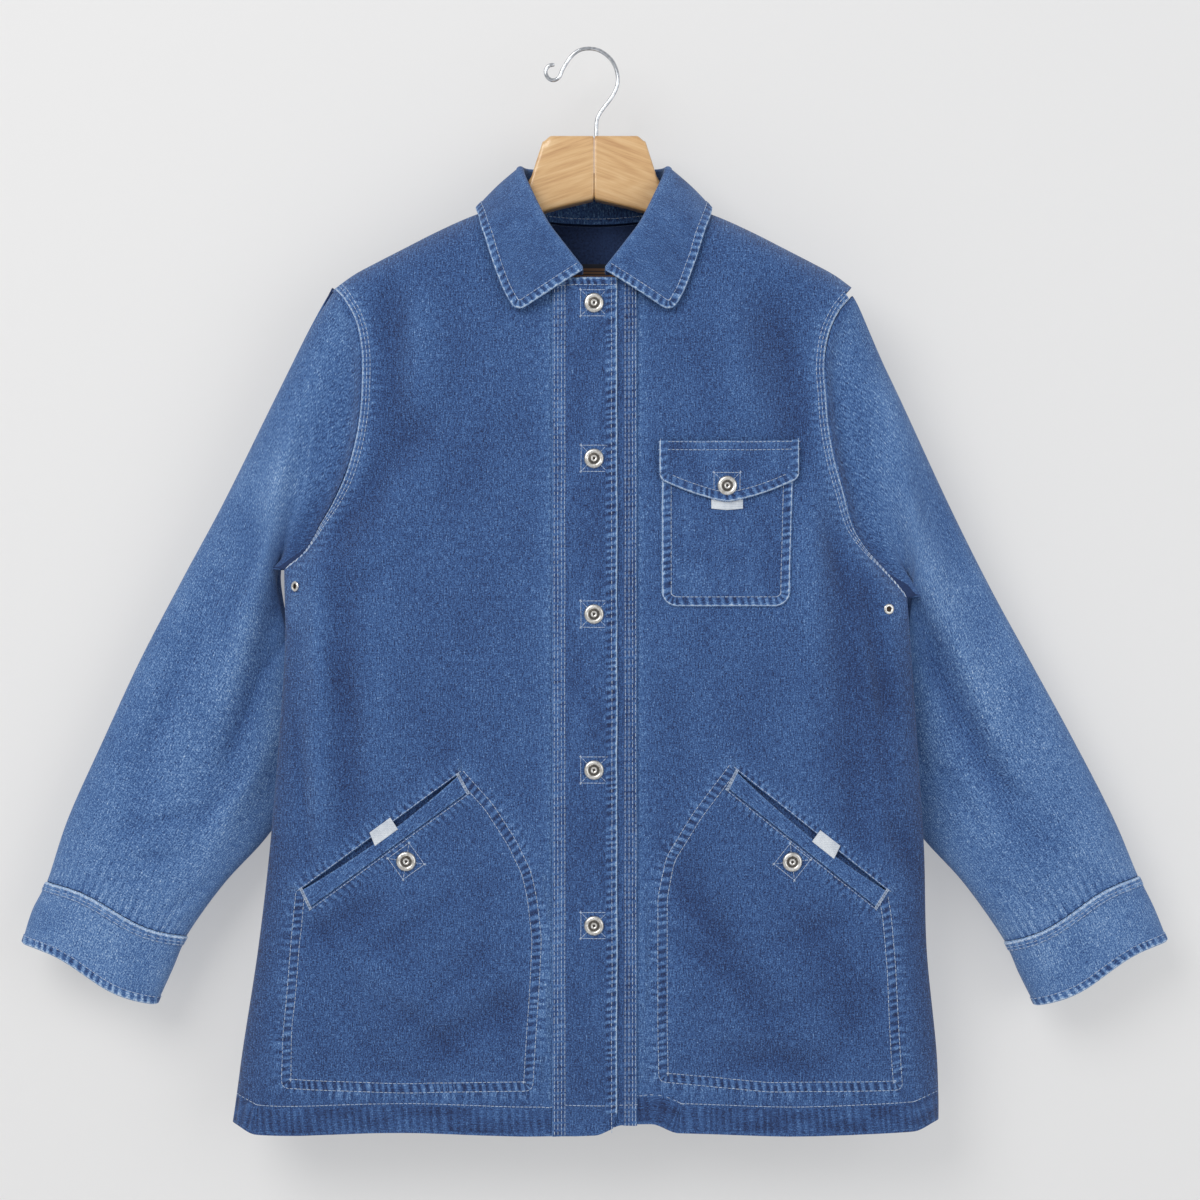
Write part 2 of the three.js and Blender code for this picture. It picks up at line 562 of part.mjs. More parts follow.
const FLAP_LIFT = SEAM_GAP + CLOTH + SEAM_GAP + TAPE + SEAM_GAP;
function chestFlap() {
  const { left, right, top, shoulder, tip, middle } = FLAP;
  const dip = (t) => mix(shoulder, tip, 0.6 * Math.sin((Math.PI / 2) * t) + 0.4 * t);
  const half = (end) => steps(5).map((t) => [mix(end, middle, t), dip(t)]);
  const leftHalf = half(left);
  const rightHalf = half(right).reverse().slice(1);
  const corners = [[left, shoulder + 7], [left + 2, shoulder + 2]];
  const others = [[right - 2, shoulder + 2], [right, shoulder + 7]];
  const low = [...leftHalf.slice(1), ...rightHalf.slice(0, -1)];
  const outline = [[left, top], ...corners, ...low, ...others, [right, top]];
  return laid(FRONT_SHEET.outer, outline, FLAP_LIFT, FLAP_LIFT + DOUBLE);
}

function chestTab() {
  const { left, right, top, bottom } = CHEST_TAB;
  const low = SEAM_GAP + CLOTH + SEAM_GAP;
  const lowEdge = [[left, bottom + 1], [(left + right) / 2, bottom], [right, bottom + 1]];
  return laid(FRONT_SHEET.outer, [[left, top], ...lowEdge, [right, top]], low, low + TAPE);
}

const BAG_CLEAR = 2 * SEAM_GAP;
function hipBag(side) {
  const column = (k) => HIP_BAG.map((row) => [row[side][k], row.z]);
  const outline = [...column(0), ...column(1).reverse()];
  return laid(FRONT_SHEET.inner, outline, -(BAG_CLEAR + CLOTH), -BAG_CLEAR);
}

// Place in the pocket's mouth: u runs from the side to the middle, up is in mm from the lower edge
function mouthPlace(side, u, up) {
  const { upperSide, upperMid, lowerMid, lowerSide } = HIP[side];
  const low = lowerSide.map((value, k) => mix(value, lowerMid[k], u));
  const high = upperSide.map((value, k) => mix(value, upperMid[k], u));
  const length = Math.hypot(high[0] - low[0], high[1] - low[1]);
  return low.map((value, k) => mix(value, high[k], up / length));
}
const MOUTH_HEIGHT = 18;

function hipWelt(side) {
  const lower = [mouthPlace(side, 0.004, 0.5), mouthPlace(side, 0.996, 0.5)];
  const open = (u) => 0.5 + WELT_GAP * Math.sin(Math.PI * u) ** 0.8;
  const across = steps(10, (t) => mix(0.996, 0.004, t));
  const upper = across.map((u) => mouthPlace(side, u, MOUTH_HEIGHT - open(u)));
  return laid(FRONT_SHEET.outer, [...lower, ...upper], -(CLOTH + SEAM_GAP), 0.4);
}

// White tape that hangs out of the mouth over the edge of the front
function hipTab(side) {
  const half = HIP_TAB.along / 2 / 173;
  const at = HIP_TAB_AT[side];
  const corner = (du, up) => mouthPlace(side, at + du, up);
  const [low, high] = [MOUTH_HEIGHT - HIP_TAB.below, MOUTH_HEIGHT + HIP_TAB.above];
  const lowEnds = [corner(-half, low), corner(half, low)];
  const outline = [...lowEnds, corner(half * 0.9, high), corner(-half * 0.9, high)];
  return laid(FRONT_SHEET.outer, outline, 0.4 + SEAM_GAP, 0.4 + SEAM_GAP + TAPE);
}

// Turned part with its axis towards the front, tilted to the surface at (x, z)
// and slid out until it clears its base
function seated(profile, x, z, reach, base) {
  const section = profile.map(([radius, height]) => new THREE.Vector2(radius, height));
  const turned = new THREE.LatheGeometry(section, 12);
  const slope = (dx, dz) => (frontY(x + dx, z + dz) - frontY(x - dx, z - dz)) / (2 * reach);
  const normal = new THREE.Vector3(slope(reach, 0), -1, slope(0, reach)).normalize();
  turned.applyQuaternion(new THREE.Quaternion().setFromUnitVectors(new THREE.Vector3(0, 1, 0), normal));
  turned.translate(x, frontY(x, z), z);
  const solid = solidFrom(facingOut(dropFlat(mergeVertices(stripped(turned), 1e-4))));
  const ground = solidFrom(base.clone());
  let out = 20;
  while (solid.translate([0, -out, 0]).intersect(ground).volume() === 0) out -= 0.1;
  return geometryFrom(solid.translate([0, -(out + SEAM_GAP), 0]));
}

// Snap fastener: a domed ring round a post
function snap(x, z, base) {
  const r = SNAP.radius;
  const ring = [[0, 0], [r, 0], [r * 0.94, 1.3], [r * 0.68, 2.3], [r * 0.4, 0.9], [r * 0.26, 1.8]];
  return seated([...ring, [0, 2.2]], x, z, r, base);
}

function stripped(geometry) {
  geometry.deleteAttribute("normal");
  geometry.deleteAttribute("uv");
  return geometry;
}

// Removes the triangles that merging has collapsed
function dropFlat(geometry) {
  const kept = [];
  const i = geometry.index.array;
  for (let k = 0; k < i.length; k += 3) {
    if (i[k] !== i[k + 1] && i[k + 1] !== i[k + 2] && i[k] !== i[k + 2]) kept.push(i[k], i[k + 1], i[k + 2]);
  }
  geometry.setIndex(kept);
  return geometry;
}

const EYELET_AT = { right: [-264, -480], left: [260, -500] };
function eyelet(side, base) {
  const { outer, inner, thick } = EYELET;
  const profile = [[inner, 0], [outer, 0], [outer - 0.5, thick], [inner + 0.4, thick + 0.3], [inner, 0]];
  return seated(profile, ...EYELET_AT[side], outer, base);
}

function label() {
  const { half, top, bottom } = LABEL;
  const outline = [[-half, top], [-half, bottom], [half, bottom], [half, top]];
  return laid(BACK_SHEET.inner, outline, SEAM_GAP, SEAM_GAP + TAPE);
}

// Sleeve: v is the station along the arm, turn goes once round from the outer edge over the front.
// Its ring at the armhole copies the corners of the panels' edges
const ARMHOLE_STEPS = steps(ARMHOLE_ROWS, rowShare);
const toTurn = (f) => Math.acos(clamp01(f) * 2 - 1) / (2 * Math.PI);
const RING = [...ARMHOLE_STEPS].reverse().map(toTurn);
RING.push(...ARMHOLE_STEPS.slice(1, -1).map((f) => 1 - toTurn(f)));

function armholeRing(side, layer) {
  const rows = ARMHOLE_ROWS + 1;
  const edge = (halves) => halves[side][layer].slice(-rows).map((row) => row[0]);
  const [front, back] = [edge(HALVES), edge(BACK_HALVES)];
  const middle = (a, b) => a.map((value, k) => (value + b[k]) / 2);
  const ring = [...front].reverse();
  ring[0] = middle(front.at(-1), back.at(-1));
  ring[rows - 1] = middle(front[0], back[0]);
  ring.push(...back.slice(1, -1));
  return ring.map(([x, y, z], k) => {
    const f = (1 + Math.cos(2 * Math.PI * RING[k])) / 2;
    const [low, high] = [Math.max(0, f - 0.01), Math.min(1, f + 0.01)];
    const run = armholeX(side, high) - armholeX(side, low);
    const rise = (high - low) * (TIP[side].z - UNDERARM[side]);
    const gap = SEAM_GAP + 0.3 + 1.2 * (1 - f) ** 3;
    const away = new THREE.Vector2(rise, -run).normalize().multiplyScalar(SIGN[side] * gap);
    return [x + away.x, y, z + away.y];
  });
}

// Place on the armhole as the sleeve near it sees it
function loopPoint(side, turn) {
  const c = (1 - Math.cos(2 * Math.PI * turn)) / 2;
  const z = mix(TIP[side].z, UNDERARM[side], c);
  const x = armholeX(side, 1 - c);
  return { c, x, y: bodyY(turn <= 0.5 ? "front" : "back", x - SIGN[side] * 0.01, z), z };
}

function sleevePoint(side, v, turn) {
  const rows = SLEEVE[side];
  const at = (column) => track(rows, "v", column, v);
  const loop = loopPoint(side, turn);
  const near = 1 - smooth(v / 2.4);
  const straightX = mix(TIP[side].x, track(ARMHOLE, "f", side, 0), loop.c);
  const straightZ = mix(TIP[side].z, UNDERARM[side], loop.c);
  const around = Math.sin(2 * Math.PI * turn);
  const tuck = TUCK.back * smooth(v / 1.5) * smooth((7.5 - v) / 2.5);
  const middle = (at("front") + at("back")) / 2 + tuck * loop.c ** 1.5;
  const half = ((at("back") - at("front")) / 2) * (1 - (tuck / TUCK.back) * TUCK.thin * loop.c);
  const flatY = middle - half * Math.sign(around) * Math.abs(around) ** 0.8;
  let x = mix(at("ox"), at("ix"), loop.c) + near * (loop.x - straightX);
  let z = mix(at("oz"), at("iz"), loop.c) + near * (loop.z - straightZ);
  const valley = Math.exp(-(((v - ARMHOLE_DIP.at) / ARMHOLE_DIP.width) ** 2));
  const dip = ARMHOLE_DIP.depth * valley * smooth(v / 0.3);
  const folds = around > 0 ? foldDepth(SLEEVE_FOLDS, x, z) * smooth(v - 0.6) * smooth((7.6 - v) / 2) : 0;
  const pushed = dip * Math.max(0, around) ** 2 + folds * Math.abs(around);
  const y = mix(flatY, loop.y, 1 - smooth(v / 1.6)) + pushed;
  const wave = CUFF_WAVE * Math.sin(2 * Math.PI * loop.c) * smooth((v - 5) / 3);
  const axis = new THREE.Vector2(at("iz") - at("oz"), at("ox") - at("ix")).normalize();
  const up = axis.y > 0 ? wave : -wave;
  return [x + axis.x * up, y, z + axis.y * up];
}

function sleeveWall(side, stations, thick, lift) {
  const range = { u: [0, CUFF_TO], v: [-1, 2] };
  const point = (v, turn) => sleevePoint(side, v, turn);
  const outer = [];
  const inner = [];
  for (const v of stations) {
    const points = RING.map((turn) => point(v, turn));
    const facing = side === "right" ? 1 : -1;
    const outward = (turn) => normalOf(point, v, turn, range).map((n) => n * facing);
    const normals = RING.map(outward);
    outer.push(points.map((p, k) => moved(p, normals[k], lift)));
    inner.push(points.map((p, k) => moved(p, normals[k], lift - thick)));
  }
  if (stations[0] === 0) {
    outer[0] = armholeRing(side, "outer");
    inner[0] = armholeRing(side, "inner");
  }
  return wall(outer, inner, true);
}

const SLEEVE_STATIONS = [0, 0.25, 0.55, 1, 1.5, 2, 2.6, 3.3, 4, 4.7, 5.4, 6.1, 6.8, 7.4, CUFF_FROM];
const sleeve = (side) => sleeveWall(side, SLEEVE_STATIONS, CLOTH, 0);
const cuff = (side) => sleeveWall(side, [CUFF_FROM + 0.015, 8.5, 9.3, CUFF_TO], DOUBLE, 0.7);

// Top edge of a sheet from the middle to the neck point of one side, in the middle of the cloth
function neckEdge(sheet, side) {
  const edge = sheet.outer.at(-1).map(([x, y, z], k) => {
    const [, innerY, innerZ] = sheet.inner.at(-1)[k];
    return new THREE.Vector3(x * SIGN[side], (y + innerY) / 2, (z + innerZ) / 2);
  });
  return edge.filter((p) => p.x > -1e-3 && p.x < NECK_HALF + 0.1).sort((a, b) => a.x - b.x);
}
const NECK_EDGES = Object.fromEntries(
  SIDES.map((side) => [side, { front: neckEdge(FRONT_SHEET, side), back: neckEdge(BACK_SHEET, side) }]),
);

// Point of the neckline; turn in degrees from the front middle to the back middle
function neckPoint(side, turn) {
  const edge = NECK_EDGES[side][turn <= 90 ? "front" : "back"];
  const x = NECK_HALF * Math.sin((turn * Math.PI) / 180);
  let i = 0;
  while (i < edge.length - 2 && x > edge[i + 1].x) i += 1;
  return edge[i].clone().lerp(edge[i + 1], clamp01((x - edge[i].x) / (edge[i + 1].x - edge[i].x)));
}

// Collar: across runs from the neck seam over the fold to the outer edge, s from the front end round the back
function collarPoint(s, across) {
  const mirrored = s > 6;
  const at = (column) => track(COLLAR, "s", column, mirrored ? 12 - s : s);
  const flip = mirrored ? 1 : -1;
  const fold = new THREE.Vector3(at("kx"), at("ky"), at("kz"));
  const edge = new THREE.Vector3(at("qx"), at("qy"), at("qz"));
  const out = new THREE.Vector3(at("ox"), at("oy"), 0).normalize();
  const [inside, outside] = [-COLLAR_FOLD, COLLAR_FOLD].map((by) => fold.clone().addScaledVector(out, by));
  const neck = neckPoint(mirrored ? "left" : "right", at("turn"));
  const seam = neck.clone().addScaledVector(inside.clone().sub(neck).normalize(), COLLAR_CLEAR);
  const top = fold.clone().add(new THREE.Vector3(0, 0, COLLAR_FOLD * 0.9));
  const path = [
    seam, seam.clone().lerp(inside, 0.5), inside, top, outside,
    ...[0.3, 0.6, 0.85, 1].map((t) => {
      const reach = outside.clone().lerp(edge, t);
      return reach.addScaledVector(out, 3 * Math.sin(Math.PI * t));
    }),
  ];
  const i = Math.min(path.length - 2, Math.floor(across));
  const p = path[i].clone().lerp(path[i + 1], across - i);
  return [flip * p.x, p.y, p.z];
}

function collar() {
  const rows = steps(26, (t) => 12 * t);
  const acrossSteps = 8;
  const range = { u: [0, 12], v: [0, acrossSteps] };
  const outer = [];
  const inner = [];
  for (const s of rows) {
    const centre = [];
    const normals = [];
    for (let k = 0; k <= acrossSteps; k++) {
      centre.push(collarPoint(s, k));
      const before = normalOf(collarPoint, s, Math.max(0.01, k - 0.3), range);
      const after = normalOf(collarPoint, s, Math.min(acrossSteps - 0.01, k + 0.3), range);
      normals.push(new THREE.Vector3(...before).add(new THREE.Vector3(...after)).normalize().toArray());
    }
    outer.push(centre.map((p, k) => moved(p, normals[k], DOUBLE / 2)));
    inner.push(centre.map((p, k) => moved(p, normals[k], -DOUBLE / 2)));
  }
  return wall(outer, inner);
}

// Half of the hanger: a rounded section at each distance from the middle, under the shoulder
function hangerTop(x) {
  const { blockHalf, blockTop, flare, flareZ } = HANGER;
  if (x <= blockHalf) return blockTop - 5 * smooth((x - blockHalf + 8) / 8);
  if (x <= flare) return mix(blockTop - 5, flareZ, (x - blockHalf) / (flare - blockHalf));
  const shoulder = shoulderZ(x) - CLOTH - 0.7;
  const dip = 5 * Math.exp(-(((x - NECK_HALF) / 9) ** 2));
  const end = 2 * smooth((x - 180) / 20);
  return mix(flareZ, shoulder - dip - end, clamp01((x - flare) / (NECK_HALF - 6 - flare)));
}

function hangerBottom(x) {
  const line = mix(HANGER.apexZ, shoulderZ(HANGER.half) - 22, x / HANGER.half);
  return line - 4 * Math.sin((Math.PI * x) / HANGER.half);
}

function hangerArm(side) {
  const { half, thick } = HANGER;
  const stations = [0.15, 25, 38, 42, 46, 51, 56, 62, 68, 74, 80, 95, 120, 150, 185, 208, half];
  const corners = 12;
  const rings = stations.map((x) => {
    const top = hangerTop(x);
    const bottom = hangerBottom(x);
    const end = x === half ? 0.6 : 1;
    const middle = (top + bottom) / 2;
    const y0 = track(DEPTH, "z", "seam", Math.max(-213, Math.min(-130, shoulderZ(x))));
    return Array.from({ length: corners }, (_, k) => {
      const angle = (2 * Math.PI * k) / corners;
      const [c, s] = [Math.cos(angle), Math.sin(angle)];
      const box = (value) => Math.sign(value) * Math.abs(value) ** 0.8;
      return [SIGN[side] * x, y0 + (thick / 2) * box(c) * end, middle + ((top - bottom) / 2) * box(s) * end];
    });
  });
  return loft(rings);
}

// A solid through closed rings, with flat ends
function loft(rings) {
  const n = rings[0].length;
  const positions = rings.flat(2);
  const index = [];
  for (let r = 0; r < rings.length - 1; r++) {
    for (let k = 0; k < n; k++) {
      const [a, b] = [r * n + k, r * n + ((k + 1) % n)];
      index.push(a, b, b + n, a, b + n, a + n);
    }
  }
  const last = (rings.length - 1) * n;
  for (let k = 1; k < n - 1; k++) index.push(0, k + 1, k, last, last + k, last + k + 1);
  const geometry = new THREE.BufferGeometry();
  geometry.setAttribute("position", new THREE.Float32BufferAttribute(positions, 3));
  geometry.setIndex(index);
  return facingOut(geometry);
}

function hangerHook() {
  const path = HOOK_PATH.map(([x, z]) => new THREE.Vector3(x, 0, z + WIRE - 1.9));
  const curve = new THREE.CatmullRomCurve3(path);
  const section = new THREE.Shape();
  section.absarc(0, 0, WIRE, 0, 2 * Math.PI);
  const sweep = { steps: 36, extrudePath: curve, curveSegments: 4, bevelEnabled: false };
  return new THREE.ExtrudeGeometry(section, sweep);
}

const FINISHES = {
  denim: { color: 0x4a6b9c, roughness: 0.9, metalness: 0 },
  cuffDenim: { color: 0x6f90bd, roughness: 0.9, metalness: 0 },
  tape: { color: 0xdfe4e8, roughness: 0.85, metalness: 0 },
  labelCloth: { color: 0x1c2238, roughness: 0.9, metalness: 0 },
  steel: { color: 0xc9c4b8, roughness: 0.3, metalness: 1 },
  wood: { color: 0xd6b07c, roughness: 0.4, metalness: 0 },
};

const jacket = new THREE.Group();
function add(name, geometry, finish) {
  const mesh = new THREE.Mesh(geometry, new THREE.MeshStandardMaterial(FINISHES[finish]));
  mesh.name = name;
  jacket.add(mesh);
  return geometry;
}

add("back", backPanel(), "denim");
for (const side of SIDES) {
  const front = add(`front_${side}`, frontPanel(side), "denim");
  add(`sleeve_${side}`, sleeve(side), "denim");
  add(`cuff_${side}`, cuff(side), "cuffDenim");
  add(`hip_bag_${side}`, hipBag(side), "denim");
  add(`hip_welt_${side}`, hipWelt(side), "denim");
  add(`hip_tab_${side}`, hipTab(side), "tape");
  add(`hip_snap_${side}`, snap(...HIP_SNAP[side], front), "steel");
  add(`eyelet_${side}`, eyelet(side, front), "steel");
  add(`hanger_arm_${side}`, hangerArm(side), "wood");
}
add("placket_left", placket("left"), "denim");
const band = add("placket_right", placket("right"), "denim");
for (let i = 0; i < SNAP.count; i++) {
  add(`front_snap_${i + 1}`, snap(0, SNAP.first - SNAP.pitch * i, band), "steel");
}
add("collar", collar(), "denim");
add("chest_pocket", chestPocket(), "denim");
const flap = add("chest_flap", chestFlap(), "denim");
add("chest_tab", chestTab(), "tape");
add("chest_snap", snap(FLAP.middle, FLAP.snapZ, flap), "steel");
add("neck_label", label(), "labelCloth");
add("hanger_hook", hangerHook(), "steel");

export default jacket;
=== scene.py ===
# Looks of a denim chore jacket on a wooden hanger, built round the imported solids.
# Sizes are in millimetres, in the frame of the solids, and Pile.build() turns them into metres.
import math

import bpy
import numpy as np
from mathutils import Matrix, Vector


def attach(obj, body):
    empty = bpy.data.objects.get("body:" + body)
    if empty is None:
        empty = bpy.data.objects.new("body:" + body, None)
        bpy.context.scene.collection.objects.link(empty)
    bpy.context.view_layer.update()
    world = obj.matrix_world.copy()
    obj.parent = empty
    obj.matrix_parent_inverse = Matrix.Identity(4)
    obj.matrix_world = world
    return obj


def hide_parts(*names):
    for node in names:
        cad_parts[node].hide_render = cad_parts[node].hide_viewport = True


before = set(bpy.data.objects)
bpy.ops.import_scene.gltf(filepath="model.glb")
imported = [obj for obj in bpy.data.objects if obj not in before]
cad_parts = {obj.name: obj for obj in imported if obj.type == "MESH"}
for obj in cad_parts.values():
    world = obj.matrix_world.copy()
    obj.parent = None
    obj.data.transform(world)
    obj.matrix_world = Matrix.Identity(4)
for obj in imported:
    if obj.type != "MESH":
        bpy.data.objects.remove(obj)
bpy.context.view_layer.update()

MM = 0.001
SIDES = ("right", "left")
SIGN = {"right": -1, "left": 1}

# Driving dimensions, the same as in the solids
CLOTH = 1.6
DOUBLE = 2.3
SEAM_GAP = 0.3
TAPE = 0.8
HEM_Z = -964
HEM_DEPTH = 28
NECK_HALF = 78
NECK_SIDE_Z = -138
NECK_FRONT_Z = -207
NECK_BACK_Z = -153
SHOULDER_ROUND = 32
SIDE_ROUND = 70
BACK_ROUND = 150
BACK_EDGE_WIDTH = 18
BACK_EDGE_RISE = 6
UNDERARM = {"right": -465, "left": -490}
TIP = {"right": (-234, -213), "left": (230, -222)}
PANEL_END = {"right": -27, "left": 26}
STEP_UP = -15  # where the upper button band has climbed over the lower one
FLAP_LIFT = 2 * SEAM_GAP + CLOTH + TAPE + SEAM_GAP
STITCH = {"length": 3.2, "pitch": 3.8, "width": 0.25, "height": 0.34, "dip": 0.25}


def mix(a, b, t):
    return a + (b - a) * t


def clamp01(t):
    return np.clip(t, 0.0, 1.0)


def smooth(t):
    t = clamp01(t)
    return t * t * (3 - 2 * t)


def bell(distance, width):
    return np.exp(-((distance / width) ** 2))


def fall(distance, width):
    return np.exp(-np.abs(distance) / width)


class Table:
    """Rows of numbers under named columns, read as a smooth curve over the first column."""

    def __init__(self, columns, *rows):
        self.columns = columns.split()
        self.rows = np.array(rows, float)

    def __call__(self, column, at):
        x, y = self.rows[:, 0], self.rows[:, self.columns.index(column)]
        index = np.arange(len(x))
        low, high = np.clip(index - 1, 0, None), np.clip(index + 1, None, len(x) - 1)
        slope = (y[high] - y[low]) / (x[high] - x[low])
        i = np.clip(np.searchsorted(x, at, side="right") - 1, 0, len(x) - 2)
        span = x[i + 1] - x[i]
        t = clamp01((at - x[i]) / span)
        rise, m0, m1 = y[i + 1] - y[i], slope[i] * span, slope[i + 1] * span
        return y[i] + m0 * t + (3 * rise - 2 * m0 - m1) * t**2 + (m0 + m1 - 2 * rise) * t**3


SIDE_SEAM = Table(
    "z right left",
    (-964, -324, 308), (-937, -320, 308), (-893, -314, 306), (-804, -300, 297),
    (-715, -289, 294), (-626, -281, 288), (-537, -275, 282), (-465, -276, 277),
)
ARMHOLE = Table(
    "f right left",
    (0, -276, 278), (0.05, -260, 268), (0.1, -251, 256), (0.16, -243, 242), (0.235, -232, 230),
    (0.335, -220, 222), (0.44, -212, 214), (0.56, -207, 208), (0.67, -205.5, 205.5), (0.77, -206, 204),
    (0.87, -211, 208), (0.95, -222, 218), (1, -234, 230),
)
for _column, _side in ((1, "right"), (2, "left")):
    ARMHOLE.rows[0, _column] = SIDE_SEAM(_side, UNDERARM[_side])
SHOULDER = Table(
    "x z",
    (0, -130), (78, -138), (105, -147), (122, -154), (145, -165), (170, -178), (195, -191), (215, -202),
    (234, -216),
)
DEPTH = Table(
    "z seam front back",
    (-964, -4, 33, 30), (-860, -6, 36, 36), (-760, -11, 34, 43), (-680, -16, 30, 50), (-580, -18, 29, 53),
    (-490, -16, 31, 51), (-400, -10, 35, 45), (-300, -7, 37, 41), (-210, -6, 36, 40), (-150, -1, 36, 36),
    (-130, 0, 36, 36),
)

# Folds: from (x0, z0) to (x1, z1), with width and depth; a ridge has a depth below 0
FRONT_FOLDS = (
    (-182, -205, -176, -345, 17, 6), (-150, -215, -158, -330, 15, -4), (-232, -440, -150, -330, 16, 6),
    (-246, -470, -240, -690, 12, -6), (-222, -450, -216, -700, 13, 6), (-180, -470, -190, -640, 20, -3),
    (150, -210, 186, -370, 17, 6), (118, -225, 132, -330, 15, -4), (236, -470, 262, -600, 10, 7),
    (214, -440, 232, -720, 15, 6), (196, -400, 186, -600, 17, -5), (262, -690, 296, -745, 9, 5),
    (60, -700, 150, -860, 17, 6), (190, -770, 235, -880, 17, 5), (110, -890, 210, -905, 14, 4),
    (-250, -790, -190, -760, 13, 5), (-150, -890, -60, -845, 16, 6), (-200, -810, -150, -850, 15, -4),
)
FRONT_CREASES = (
    (-196, -250, -192, -420, 7, 1.4), (-120, -240, -128, -420, 9, 1.2), (-95, -330, -110, -520, 10, 1.0),
    (-250, -560, -236, -640, 6, 2.0), (-238, -520, -205, -610, 6, 1.6), (-262, -600, -250, -730, 5, 2.0),
    (-160, -560, -120, -660, 9, 1.4), (-210, -480, -160, -450, 7, 1.6), (166, -250, 190, -330, 7, 1.6),
    (200, -420, 236, -520, 7, 2.0), (222, -520, 254, -640, 6, 2.2), (250, -560, 262, -680, 5, 1.8),
    (180, -520, 206, -640, 8, 1.4), (60, -560, 80, -640, 9, 1.0), (70, -740, 120, -800, 8, 1.6),
    (210, -800, 250, -850, 8, 1.6), (150, -870, 190, -930, 8, 1.4), (-100, -760, -70, -900, 10, 1.4),
    (-230, -830, -190, -900, 9, 1.5), (-282, -850, -262, -930, 7, 1.6), (-130, -700, -90, -760, 8, 1.3),
    (-190, -900, -120, -925, 7, 1.2), (80, -900, 60, -930, 7, 1.2), (256, -880, 280, -935, 7, 1.5),
    (-120, -750, -200, -806, 8, 1.6), (-90, -796, -176, -872, 9, 1.7), (-244, -776, -206, -836, 6, 1.8),
    (-176, -846, -104, -908, 7, 1.4), (71, -789, 124, -823, 7, 2.3), (88, -914, 164, -896, 6, 1.7),
    (150, -800, 226, -770, 8, 1.5), (140, -858, 214, -838, 8, 1.3), (236, -790, 252, -850, 6, 1.6),
)
BACK_FOLDS = (
    (-200, -250, -150, -520, 20, 6), (196, -260, 160, -540, 20, 6), (-90, -200, -70, -620, 24, 4),
    (84, -210, 96, -600, 24, 4), (-230, -640, -200, -900, 20, 6), (226, -660, 190, -905, 20, 6),
    (-60, -700, -30, -900, 22, -4), (70, -690, 50, -910, 22, -4),
)
BACK_CREASES = (
    (-150, -300, -120, -420, 9, 1.5), (140, -320, 110, -460, 9, 1.5), (-30, -260, -20, -420, 10, 1.0),
    (-180, -560, -120, -640, 9, 1.6), (170, -560, 120, -650, 9, 1.6), (-120, -760, -90, -880, 10, 1.4),
    (130, -740, 100, -860, 10, 1.4), (0, -520, 10, -640, 12, 1.0), (-240, -480, -190, -520, 8, 2),
    (240, -500, 190, -540, 8, 2),
)
SLEEVE_FOLDS = (
    (-262, -330, -330, -600, 15, -5), (-268, -450, -330, -640, 14, 7), (-330, -440, -420, -690, 14, 4),
    (-280, -600, -345, -720, 11, -4), (262, -380, 370, -640, 14, -5), (286, -500, 392, -720, 14, 7),
    (330, -450, 430, -660, 12, -4), (300, -400, 400, -600, 12, 4),
)
SLEEVE_CREASES = (
    (-236, -300, -250, -420, 7, 2.0), (-256, -300, -290, -420, 7, -1.6), (-290, -420, -330, -520, 6, 2.0),
    (-350, -520, -400, -620, 8, 1.6), (-300, -560, -330, -640, 5, 2.2), (-310, -640, -360, -700, 6, 2.2),
    (-350, -680, -420, -700, 6, 2.0), (-360, -720, -440, -730, 6, 1.8), (-380, -640, -430, -720, 8, 1.4),
    (-270, -520, -300, -560, 5, 2.4), (-400, -740, -470, -750, 5, 1.6), (-340, -740, -380, -770, 5, 1.8),
    (232, -300, 250, -420, 7, 2.0), (252, -290, 290, -430, 7, -1.6), (276, -470, 310, -540, 6, 2.4),
    (300, -540, 340, -620, 6, 2.0), (340, -480, 400, -600, 8, 1.6), (350, -640, 420, -700, 6, 2.0),
    (380, -690, 450, -740, 6, 1.8), (310, -640, 350, -700, 5, 2.0), (400, -600, 440, -690, 8, 1.4),
    (350, -740, 420, -770, 5, 1.8), (420, -740, 480, -745, 5, 1.4), (280, -600, 300, -650, 5, 2.0),
)

# Sections of the sleeves: outer and inner edge, and front and back face
SLEEVE = {
    "right": Table(
        "v ox oz ix iz front back",
        (0, -234, -213, -276, -465, -26, 24), (1, -256, -252, -292, -468, -31, 30),
        (2, -287, -314, -286, -500, -31, 35),
        (3, -332, -403, -264, -560, -22, 37), (4, -371, -474, -258, -612, -13, 37),
        (5, -409, -546, -268, -662, -8, 37),
        (6, -442, -617, -296, -706, -6, 37), (7, -474, -688, -334, -748, -5, 37),
        (8, -493, -745, -367, -794, -4, 36),
        (9, -506, -772, -381, -825, -5, 36), (10, -515, -801, -395, -856, -6, 36),
    ),
    "left": Table(
        "v ox oz ix iz front back",
        (0, 230, -222, 278, -490, -26, 24), (1, 249, -260, 296, -492, -31, 30),
        (2, 274, -312, 291, -524, -31, 35),
        (3, 317, -403, 268, -575, -22, 37), (4, 355, -478, 262, -624, -13, 37),
        (5, 393, -547, 272, -670, -8, 37),
        (6, 432, -618, 298, -708, -6, 37), (7, 468, -688, 334, -748, -5, 37),
        (8, 490, -740, 370, -799, -4, 36),
        (9, 504, -769, 384, -829, -5, 36), (10, 516, -799, 398, -857, -6, 36),
    ),
}
CUFF_FROM, CUFF_TO = 8, 10
ARMHOLE_DIP = (12, 0.5, 0.42)  # depth, place along the sleeve and width of the valley beside the armhole
CUFF_WAVE = 4
TUCK_BACK, TUCK_THIN = 15, 0.5  # how far the inner side of the sleeve lies back, and how much thinner it is

